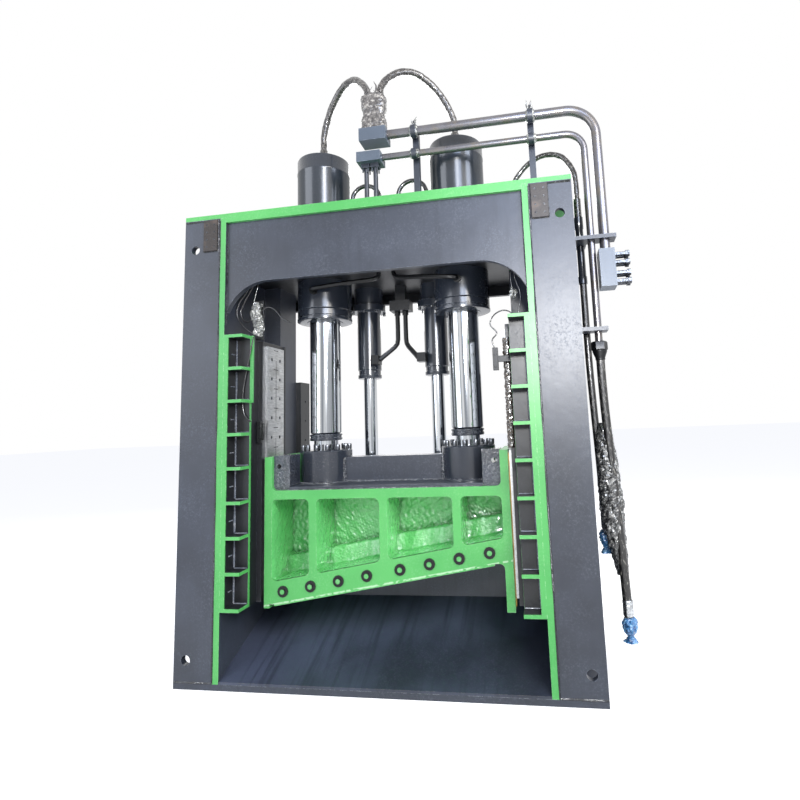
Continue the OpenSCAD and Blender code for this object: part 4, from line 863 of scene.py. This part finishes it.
turn_pair("rod_sockets_turned", [
    (0.0863, 1.1625), (0.184, 1.1625), (0.184, 1.376), (0.178, 1.3835), (0.142, 1.3835),
    (0.140, 1.381), (0.138, 1.3835), (0.0863, 1.3835),
], "ram", MAIN, satin_enamel, replaces=["rod_sockets"])
screws = screw_heads(14, 0.164, MAIN, 1.384, 0.0165, 0.036)
piece("socket_screws", [s for screw in screws for s in both_sides(screw)], "ram",
      bolt_steel)
print("main cylinders turned")

# %% Clamp cylinders
turn_pair("clamp_barrels_turned", [
    (0.070, 1.9605), (0.086, 1.9605), (0.090, 1.965), (0.090, 2.410), (0.096, 2.417),
    (0.131, 2.417), (0.135, 2.421), (0.135, 2.468), (0.131, 2.472), (0.112, 2.472),
    (0.112, 2.5995), (0.0895, 2.5995), (0.0895, 2.798), (0.070, 2.798),
], "frame", CLAMP, satin_enamel, replaces=["clamp_barrels"],
    extra=screw_heads(6, 0.123, CLAMP, 2.417, 0.011, -0.018))
turn_pair("clamp_glands_turned", [
    (0.0506, 1.898), (0.080, 1.898), (0.0885, 1.9015), (0.090, 1.905), (0.090, 1.927),
    (0.084, 1.930), (0.084, 1.9595), (0.0695, 1.960), (0.0695, 1.989), (0.0506, 1.989),
], "frame", CLAMP, satin_enamel, replaces=["clamp_glands"])
turn_pair("clamp_rods_turned", [
    (0.0495, 1.001), (0.0495, 1.151), (0.071, 1.1515), (0.074, 1.155), (0.074, 1.187),
    (0.071, 1.190), (0.050, 1.1905), (0.050, 1.990), (0.069, 1.991), (0.069, 2.059),
    (0.060, 2.0605),
], "clamp", CLAMP, chrome, hollow=False, replaces=["clamp_rods"])
print("clamp cylinders turned")

# %% [markdown]
# ## Pipes and hoses
# The pipes are drawn along straight runs with one bend, the hoses along smooth lines through the
# same points as in the CAD model. The upper block, its fittings and the pipe clips are wound with
# clear film, whose loose ends stand up.

# %% Pipes
PIPE_Y = -0.275
UPPER_X, UPPER_Z = 1.487, 3.548
LOWER_X, LOWER_Z = 1.405, 3.385
SIDE_X, SIDE_Y = 1.345, -0.180


def bent(start, corner, end, bend, count=150):
    """Two straight runs at right angles with an arc between them:
    point(t) = centre - bend * (v cos t + u sin t), t from 0 to a quarter turn."""
    a, c, b = (np.asarray(p, float) for p in (start, corner, end))
    u, v = (a - c) / np.linalg.norm(a - c), (b - c) / np.linalg.norm(b - c)
    t = np.linspace(0, np.pi / 2, 24)[:, None]
    arc = c + bend * (u + v) - bend * (v * np.cos(t) + u * np.sin(t))
    return even_line(np.vstack([a, arc, b]), count)


def routed(start_mm, end_mm, shares, rises_mm):
    """Points at shares of the way from start to end, each lifted by its rise, made smooth."""
    a, b = MM * np.asarray(start_mm, float), MM * np.asarray(end_mm, float)
    points = a + (b - a) * np.asarray(shares, float)[:, None]
    points[:, 2] += MM * np.asarray(rises_mm, float)
    return even_line(smooth_line(points, 8), HOSE_RINGS)


def wound(path, radius, depth, size, seed, sides=24, oval=1.0):
    """Tube whose skin is uneven: radius + depth * lumps(point), with sharp creases."""
    plain = tube(path, radius, sides, caps=False)[0]
    field = lumps(plain, size, seed).reshape(len(path), sides)
    crease = 1 - 2 * np.abs(lumps(plain, size * 0.6, seed + 1)).reshape(len(path), sides)
    base = np.asarray(radius, float)
    base = base[:, None] if base.ndim == 1 else base
    return tube(path, base + depth * (0.6 * field + 0.5 * crease), sides, oval=oval)


upper_run = bent((0.0573, PIPE_Y, UPPER_Z), (UPPER_X, PIPE_Y, UPPER_Z), (UPPER_X, PIPE_Y, 2.570),
                 0.190)
lower_run = bent((0.0153, PIPE_Y, LOWER_Z), (LOWER_X, PIPE_Y, LOWER_Z), (LOWER_X, PIPE_Y, 2.000),
                 0.120)
for name, run, radius, sides in (("upper_pipe", upper_run, 0.032, 40),
                                 ("lower_pipe", lower_run, 0.023, 36)):
    piece(name + "_bent", tube(run, radius, sides), "frame", pipe_paint,
          replaces=[name])
piece("side_tube_turned", turned([
    (0.020, 2.391), (0.028, 2.393), (0.028, 2.440), (0.0245, 2.445), (0.0245, 2.760),
    (0.028, 2.765), (0.028, 2.842), (0.020, 2.8445),
], (SIDE_X, SIDE_Y, 0), sides=40), "frame", satin_enamel, replaces=["side_tube"])
piece("hose_coupling_turned", [
    turned([(0.030, 1.940), (0.044, 1.941), (0.0498, 1.947), (0.0498, 1.990), (0.044, 1.9975),
            (0.024, 1.9985)], (LOWER_X, PIPE_Y, 0), sides=6),
    turned([(0.026, 1.8805), (0.0295, 1.884), (0.0295, 1.896), (0.044, 1.934), (0.044, 1.9405)],
           (LOWER_X, PIPE_Y, 0), sides=40),
], "frame", blackened, replaces=["hose_coupling"])
print("pipes bent:", len(upper_run), "rings")

# %% Hoses on top
LEFT_SHARES = [0, 0, .03, .1, .2, .33, .5, .7, .86, .96, 1, 1]
LEFT_RISES = [0, 80, 148, 210, 265, 298, 307, 260, 167, 80, 30, 0]
RIGHT_SHARES = [0, 0, .03, .1, .2, .34, .5, .66, .8, .92, .98, 1, 1]
RIGHT_RISES = [0, 80, 136, 200, 259, 300, 313, 279, 217, 130, 62, 25, 0]
SIDE_SHARES = [0, .02, .14, .36, .6, .83, .97, 1, 1]
SIDE_RISES = [0, 70, 180, 280, 325, 300, 205, 110, 0]
LOOP_Y, LOOP_R, LOOP_FOOT, LOOP_TOP = -0.070, 0.105, 3.001, 3.190

top_shapes = []
for side, shares, rises, seed in ((-1, LEFT_SHARES, LEFT_RISES, 21),
                                  (1, RIGHT_SHARES, RIGHT_RISES, 22)):
    run = routed((side * 517, 28, 3676), (-8 + side * 48, -275, 3870), shares, rises)
    top_shapes += [wound(run, 0.0235, 0.0022, 0.05, seed), turned([
        (0.030, 3.587), (0.034, 3.589), (0.034, 3.615), (0.030, 3.617), (0.030, 3.668),
        (0.026, 3.676)], (side * MAIN[0], MAIN[1], 0), sides=28)]
piece("top_hoses_filmed", top_shapes, "frame", top_film, replaces=["top_hoses"])
loop_shapes = []
for x in (-0.150, 0.200):
    turn = np.linspace(0, np.pi, 30)
    arch = np.stack([x + LOOP_R * np.cos(turn), np.full(30, LOOP_Y),
                     LOOP_TOP + LOOP_R * np.sin(turn)], -1)
    path = np.vstack([[x + LOOP_R, LOOP_Y, LOOP_FOOT], arch, [x - LOOP_R, LOOP_Y, LOOP_FOOT]])
    loop_shapes.append(tube(even_line(path, 70), 0.0158, 24))
    for s in (-LOOP_R, LOOP_R):
        loop_shapes.append(turned([(0.018, LOOP_FOOT), (0.019, 3.003), (0.019, 3.044),
                                   (0.017, 3.0475)], (x + s, LOOP_Y, 0), sides=24))
piece("loop_hoses_bent", loop_shapes, "frame", dusty_rubber,
      replaces=["loop_hoses"])
side_shapes = [
    wound(routed((900, -60, 3060), (1345, -180, 2975), SIDE_SHARES, SIDE_RISES), 0.0175, 0.0015,
          0.05, 25),
    turned([(0.020, 3.001), (0.024, 3.003), (0.024, 3.055), (0.019, 3.060)],
           (0.900, -0.060, 0), sides=24),
    turned([(0.020, 2.8455), (0.0235, 2.848), (0.0235, 2.970), (0.018, 2.975)],
           (SIDE_X, SIDE_Y, 0), sides=24),
]
piece("side_hose_bent", side_shapes, "frame", top_film, replaces=["side_hose"])
print("hoses:", len(top_shapes) + len(loop_shapes) + len(side_shapes), "shapes")

# %% Film on the fittings
WRAP_X, WRAP_FOOT, WRAP_TOP, WRAP_SIDES = -0.008, 3.5865, 3.868, 48
CLIP_REACH = 0.034


def spikes(centre, spread, length, count, seed):
    """Twisted loose ends of film: thin cones that lean out from a point."""
    random = np.random.default_rng(seed)
    shapes = []
    for _ in range(count):
        foot = np.asarray(centre) + random.uniform(-1, 1, 3) * spread
        lean = np.array([random.uniform(-0.5, 0.5), random.uniform(-0.4, 0.2), 1.0])
        far = length * random.uniform(0.6, 1.0)
        path = foot + lean * np.linspace(0, far, 9)[:, None]
        path[:, 0] += 0.004 * np.sin(np.linspace(0, 9, 9) + random.uniform(0, 6))
        shapes.append(tube(path, np.linspace(0.011, 0.0015, 9) * random.uniform(0.7, 1.2), 7))
    return shapes


# The wrap is drawn in at one height and closes at its top. Its ring is a rounded square.
wrap_path = upright(WRAP_X, PIPE_Y, WRAP_FOOT, WRAP_TOP, 60)
pinch = 1 - 0.13 * np.exp(-((wrap_path[:, 2] - 3.706) / 0.035) ** 2)
close = np.clip((3.872 - wrap_path[:, 2]) / 0.03, 0.55, 1)
angle = np.linspace(0, 2 * np.pi, WRAP_SIDES, endpoint=False)
square = (np.abs(np.cos(angle)) ** 5 + np.abs(np.sin(angle)) ** 5) ** -0.2
wrap = wound(wrap_path, (0.083 * pinch * close)[:, None] * square[None, :], 0.006, 0.055, 31,
             WRAP_SIDES, 0.60)
film_shapes = [wrap] + spikes((WRAP_X, -0.285, 3.84), (0.06, 0.03, 0.02), 0.10, 9, 32)
piece("fitting_film", film_shapes, "frame", grey_film, replaces=["fitting_wrap"])
clip_shapes = []
for k, x in enumerate((0.275, 1.072)):
    reach = np.linspace(-CLIP_REACH, CLIP_REACH, 12)
    path = np.stack([x + reach, np.full(12, PIPE_Y), np.full(12, UPPER_Z)], -1)
    round_off = 0.042 * (1 - 0.35 * (np.abs(reach) / CLIP_REACH) ** 4)
    clip_shapes.append(wound(path, round_off, 0.005, 0.04, 41 + k))
    low = path - [0, 0, UPPER_Z - LOWER_Z]
    clip_shapes.append(wound(low, round_off * 0.8, 0.004, 0.04, 43 + k))
    clip_shapes += spikes((x, -0.285, 3.575), (0.012, 0.012, 0.01), 0.07, 4, 45 + k)
piece("clip_film", clip_shapes, "frame", clear_film)
print("film pieces:", len(film_shapes) + len(clip_shapes))

# %% [markdown]
# ## Cast pockets of the ram
# The ram is flat in front, and its four pockets are raw cast walls under glossy paint, with a
# ledge at the bottom. Each pocket gets an uneven skin: rings of a rounded outline run from the
# mouth to the back and then close to the middle of the rear wall.

# %% Pocket skins
POCKETS = ((-0.755, -0.498), (-0.447, -0.026), (0.025, 0.447), (0.498, 0.755))
POCKET_TOP, POCKET_FOOT = 1.085, 0.150
RAM_FRONT, POCKET_DEPTH = -0.305, 0.300
LEDGE_H, LEDGE_FRONT, LEDGE_SLOPE = 0.105, -0.121, 0.03
SKIN_GAP = 0.0006


def pocket_outline(x0, x1, corner=0.030, points=190):
    """Outline of a pocket mouth in X and Z, with its floor parallel to the raked edge. Each
    corner is the curve (1 - t)^2 a + 2 t (1 - t) b + t^2 c."""
    corners = np.array([[x0, edge_z(x0) + POCKET_FOOT], [x1, edge_z(x1) + POCKET_FOOT],
                        [x1, POCKET_TOP], [x0, POCKET_TOP]])
    line = []
    for k in range(4):
        before, here, after = corners[k - 1], corners[k], corners[(k + 1) % 4]
        a = here + corner * (before - here) / np.linalg.norm(before - here)
        c = here + corner * (after - here) / np.linalg.norm(after - here)
        t = np.linspace(0, 1, 9)[:, None]
        line.append((1 - t) ** 2 * a + 2 * t * (1 - t) * here + t**2 * c)
    line = np.vstack(line + [line[0][:1]])
    flat = np.stack([line[:, 0], np.zeros(len(line)), line[:, 1]], -1)
    return even_line(flat, points + 1)[:-1]


def pocket_skin(x0, x1, seed):
    """Skin of one pocket. The ledge lifts the rings over its slope, and then every point is
    pushed off its wall: point + push * 4.5 mm * lumps, fading out towards the mouth."""
    outline = pocket_outline(x0, x1)
    along = np.roll(outline, -1, 0) - np.roll(outline, 1, 0)
    inward = np.stack([-along[:, 2], np.zeros(len(along)), along[:, 0]], -1)
    inward /= np.linalg.norm(inward, axis=1)[:, None]
    middle_x = (x0 + x1) / 2
    middle = np.array([middle_x, 0, (edge_z(middle_x) + POCKET_FOOT + POCKET_TOP) / 2])
    rings, pushes = [], []
    back = np.array([0, -1.0, 0])
    for t in np.concatenate([[0, 0.004, 0.012, 0.025], np.linspace(0.045, 0.165, 14),
                             np.linspace(0.171, 0.228, 15),
                             np.linspace(0.236, POCKET_DEPTH - 0.004, 8)]):
        inset = SKIN_GAP + 0.0040 * min(t / 0.02, 1)
        rings.append(outline + inward * inset + [0, RAM_FRONT + SKIN_GAP + t, 0])
        pushes.append(inward)
    last = rings[-1]
    for t in np.linspace(0.012, 0.999, 46):
        rings.append(last + (middle + [0, last[0, 1], 0] - last) * t)
        pushes.append(np.broadcast_to(back, inward.shape))
    points, push = np.array(rings), np.array(pushes)

    def uneven(size, seed, axes=(1, 1, 1)):
        return lumps(points.reshape(-1, 3) * axes, size, seed).reshape(points.shape[:2])

    step = 0.012 * uneven(0.16, seed + 5, (1, 0, 0))
    rise = np.clip((points[..., 1] - LEDGE_FRONT + step) / LEDGE_SLOPE, 0, 1)
    top = edge_z(points[..., 0]) + POCKET_FOOT + 0.004 + LEDGE_H * rise**2 * (3 - 2 * rise)
    face = (4 * rise * (1 - rise) * (points[..., 2] < top))[..., None]
    push = push * (1 - face) + back * face
    points[..., 2] = np.maximum(points[..., 2], top)
    fade = np.clip((points[..., 1] - RAM_FRONT) / 0.03, 0, 1)
    rough = 0.5 * uneven(0.06, seed) + 0.5 * uneven(0.026, seed + 1)
    points = points + push * (np.clip(rough, -0.6, 1.2) * 0.0045 * fade)[..., None]
    return points.reshape(-1, 3), grid_quads(*points.shape[:2]), NO_TRIS


skins = piece("pocket_skins", [pocket_skin(a, b, 60 + 3 * k) for k, (a, b) in enumerate(POCKETS)],
              "ram", wet_green_painted_light, angle=60)
print("pocket skins:", len(skins.data.polygons), "faces")

# %% [markdown]
# ## Welds and small parts
# Weld seams are rippled beads along the corners of the plates; in the rib pockets they are
# lightened as a painted highlight. Screws sit in the liners, the corner pads have drilled holes,
# drawn as dark discs of painted shade, and each knife bolt shows a painted face in a dark ring.

# %% Welds
RIPPLE = 0.007
RIB_FOOT, RIB_PITCH = 0.467, 0.213
FRAME_SEAMS = [  # start, end, radius
    ((1.0315, -0.4985, 0.04), (1.0315, -0.4985, 2.955), 0.006),
    ((0.9885, -0.4785, 2.24), (0.9885, -0.4785, 2.955), 0.006),
    ((1.035, -0.497, 0.040), (1.285, -0.497, 0.040), 0.007),
    ((1.035, -0.497, 2.958), (1.285, -0.497, 2.958), 0.007),
]


def bead(points, radius=0.006, seed=1):
    """Weld bead: a six-sided tube whose radius swells once every ripple."""
    points = np.asarray(points, float)
    far = np.linalg.norm(np.diff(points, axis=0), axis=1).sum()
    path = even_line(points, max(int(far / (RIPPLE / 2)), 6))
    at = np.linspace(0, far, len(path))
    uneven = lumps(path, 0.2, seed, 5)
    return tube(path, radius * (1 + 0.13 * np.sin(2 * np.pi * at / RIPPLE) + 0.2 * uneven), 6)


beads = []
for start, end, radius in FRAME_SEAMS:
    beads += both_sides(bead([start, end], radius))
beads.append(bead([(-0.985, -0.4795, 2.957), (0.985, -0.4795, 2.957)], 0.008, 4))
piece("weld_seams", beads, "frame", seam_enamel)
beads = []
for k in range(9):
    z = RIB_FOOT + RIB_PITCH * k
    beads += both_sides(bead([(0.868, -0.4015, z), (0.957, -0.4015, z)], 0.005, k))
    if k < 8:
        low, high, middle = z + 0.006, z + 0.183, z + 0.085
        beads += both_sides(bead([(0.9575, -0.403, low), (0.9575, -0.403, high)], 0.006, k + 20))
        beads += both_sides(bead([(0.9585, -0.46, middle), (0.9585, -0.425, middle)], 0.004,
                                 k + 40))
piece("rib_weld_seams", beads, "frame", painted_highlight_seam)
turn = np.linspace(0, 2 * np.pi, 90)
ring = np.stack([MAIN[0] + 0.187 * np.cos(turn), MAIN[1] + 0.187 * np.sin(turn),
                 np.full(90, 1.165)], -1)
ram_beads = both_sides(bead(ring, 0.008, 7))
ram_beads += [bead([(-0.63, -0.290, 1.1425), (0.63, -0.290, 1.1425)], 0.007, 8),
              bead([(-0.35, -0.048, 1.1635), (0.35, -0.048, 1.1635)], 0.010, 9)]
ram_beads += both_sides(bead([(0.350, -0.050, 1.166), (0.350, -0.050, 1.328)], 0.012, 10))
piece("ram_weld_seams", ram_beads, "ram", lumpy_enamel)
print("weld seams:", len(beads) + len(ram_beads))

# %% Screws, holes and washers
LINER_FOOT, SCREW_PITCH, SCREW_ROWS = 0.475, 0.135, 12
PAD_FRONT = -0.5
PAD_X, PAD_Z = (1.043, 1.147), (2.743, 2.960)
HOLE_COLUMNS, HOLE_FOOT, HOLE_PITCH = (1.068, 1.122), 2.775, 0.051
FIRST_BOLT, BOLT_PITCH, BOLT_GAP = -0.736 + 0.062, 0.187286, 0.029

screws, grooves = [], []
for row in range(SCREW_ROWS):
    z = LINER_FOOT + (row + 0.5) * SCREW_PITCH
    head = [(0.0105, 0.8197), (0.0115, 0.819), (0.0115, 0.8155), (0.0105, 0.8147),
            (0.006, 0.8147), (0.0055, 0.818)]
    for y in (-0.2065, -0.0955):
        screws += both_sides(turned(head, (0, y, z), "x", 14))
    grooves += both_sides(slab((0.8114, -0.180, z + 0.065), (0.8122, -0.122, z + 0.070)))
    if row % 4 != 3:
        grooves += both_sides(slab((0.8114, -0.1535, z + 0.004), (0.8122, -0.1485, z + 0.131)))
piece("liner_screws", screws, "frame", seam_enamel)
# The liners' grooves are not cut: each is drawn as a thin dark strip on the face.
piece("liner_groove_strips", grooves, "frame", seam_enamel, flat=True)
holes = []
# The holes are not cut: each is a dark disc on the pad face, its shade painted.
for x in HOLE_COLUMNS:
    for row in range(4):
        profile = [(0.0065, -0.5121), (0.0058, -0.5124)]
        holes += both_sides(turned(profile, (x, 0, HOLE_FOOT + row * HOLE_PITCH), "y", 16))
(x0, x1), (z0, z1) = PAD_X, PAD_Z
pad_outline = [(x0, z0), (x1, z0), (x1, z1), (x0, z1), (x0, z0)]
holes += both_sides(bead([(x, PAD_FRONT, z) for x, z in pad_outline], 0.004, 3))
piece("pad_holes", holes, "frame", seam_enamel)
faces = []
for i in range(8):
    x = FIRST_BOLT + i * BOLT_PITCH + (BOLT_GAP if i >= 4 else 0)
    faces.append(turned([(0.0155, -0.3188), (0.0145, -0.3202), (0.008, -0.3204), (0.007, -0.3192)],
                        (x, 0, float(edge_z(x)) + 0.080), "y", 24))
piece("knife_bolt_faces", faces, "ram", green_enamel)
print("screws", len(screws), "holes", len(holes), "bolt faces", len(faces))

# %% [markdown]
# ## Cables, switches and grease
# Thin cables leave the arch and run to two limit switches beside the ram. They are held by clips
# at both ends, so they are plain tubes. A strip of old grease lies along the right-hand guide.

# %% Cables and switches
THICK, THIN = 0.0042, 0.003
CABLES = [  # radius, depth, and then the points X and Z
    (THICK, -0.36, [(-0.811, 2.600), (-0.853, 2.451), (-0.870, 2.337), (-0.851, 2.235)]),
    (THICK, -0.38, [(-0.866, 2.590), (-0.905, 2.480), (-0.957, 2.409), (-0.974, 2.318),
                    (-0.918, 2.233), (-0.838, 2.177)]),
    (THICK, -0.345, [(-0.835, 2.600), (-0.900, 2.490), (-0.945, 2.412), (-0.969, 2.344),
                     (-0.931, 2.278), (-0.858, 2.307), (-0.785, 2.367), (-0.724, 2.354),
                     (-0.664, 2.287), (-0.600, 2.250)]),
    (THICK, -0.408, [(-0.835, 2.160), (-0.868, 2.000), (-0.905, 1.800), (-0.900, 1.660),
                     (-0.850, 1.600)]),
    (THICK, -0.335, [(0.880, 2.160), (0.874, 2.210), (0.822, 2.227), (0.764, 2.197),
                     (0.742, 2.141), (0.781, 2.086), (0.750, 2.043), (0.762, 1.985)]),
    (THIN, -0.40, [(0.905, 2.600), (0.889, 2.438), (0.895, 2.340)]),
    (THIN, -0.40, [(0.925, 2.600), (0.913, 2.430), (0.943, 2.308), (0.920, 2.180)]),
]

cables = []
for radius, depth, points in CABLES:
    route = smooth_line([(x, depth, z) for x, z in points], 8)
    cables.append(tube(even_line(route, 60), radius, 10))
piece("switch_cables", cables, "frame", dusty_rubber)
boxes = [
    slab((-0.858, -0.322, 1.455), (-0.826, -0.301, 1.600)),
    slab((-0.826, -0.318, 1.475), (-0.810, -0.303, 1.585)),
    slab((0.748, -0.350, 1.850), (0.782, -0.322, 1.992)),
    slab((0.780, -0.345, 1.900), (0.866, -0.338, 1.940)),
    slab((-0.856, -0.345, 2.146), (-0.800, -0.335, 2.420)),
]
boxes += [turned([(0.010, y + 0.004), (0.009, y - 0.008)], (x, 0, z), "y", 18)
          for x, y, z in ((-0.842, -0.322, 1.49), (-0.842, -0.322, 1.565), (0.765, -0.35, 1.88),
                          (0.765, -0.35, 1.955))]
piece("limit_switches", boxes, "frame", blackened, bevel=0.002)
bundle_path = upright(-0.835, -0.360, 2.175, 2.400, 40)
bundle_path[:, 0] += 0.012 * np.sin(np.linspace(0, 7, 40))
bundle_r = 0.024 + 0.010 * np.sin(np.linspace(0.3, 2.9, 40))
piece("cable_film", [wound(bundle_path, bundle_r, 0.008, 0.05, 71, 20)]
      + spikes((0.903, -0.41, 2.30), (0.02, 0.01, 0.02), 0.05, 8, 72),
      "frame", clear_film, flat=True)
grease_path = upright(0.832, -0.3035, 1.37, 2.06, 120)
piece("guide_grease", wound(grease_path, 0.020, 0.006, 0.03, 75, 20, oval=0.35), "frame",
      old_grease)
print("cables:", len(cables), "boxes:", len(boxes))
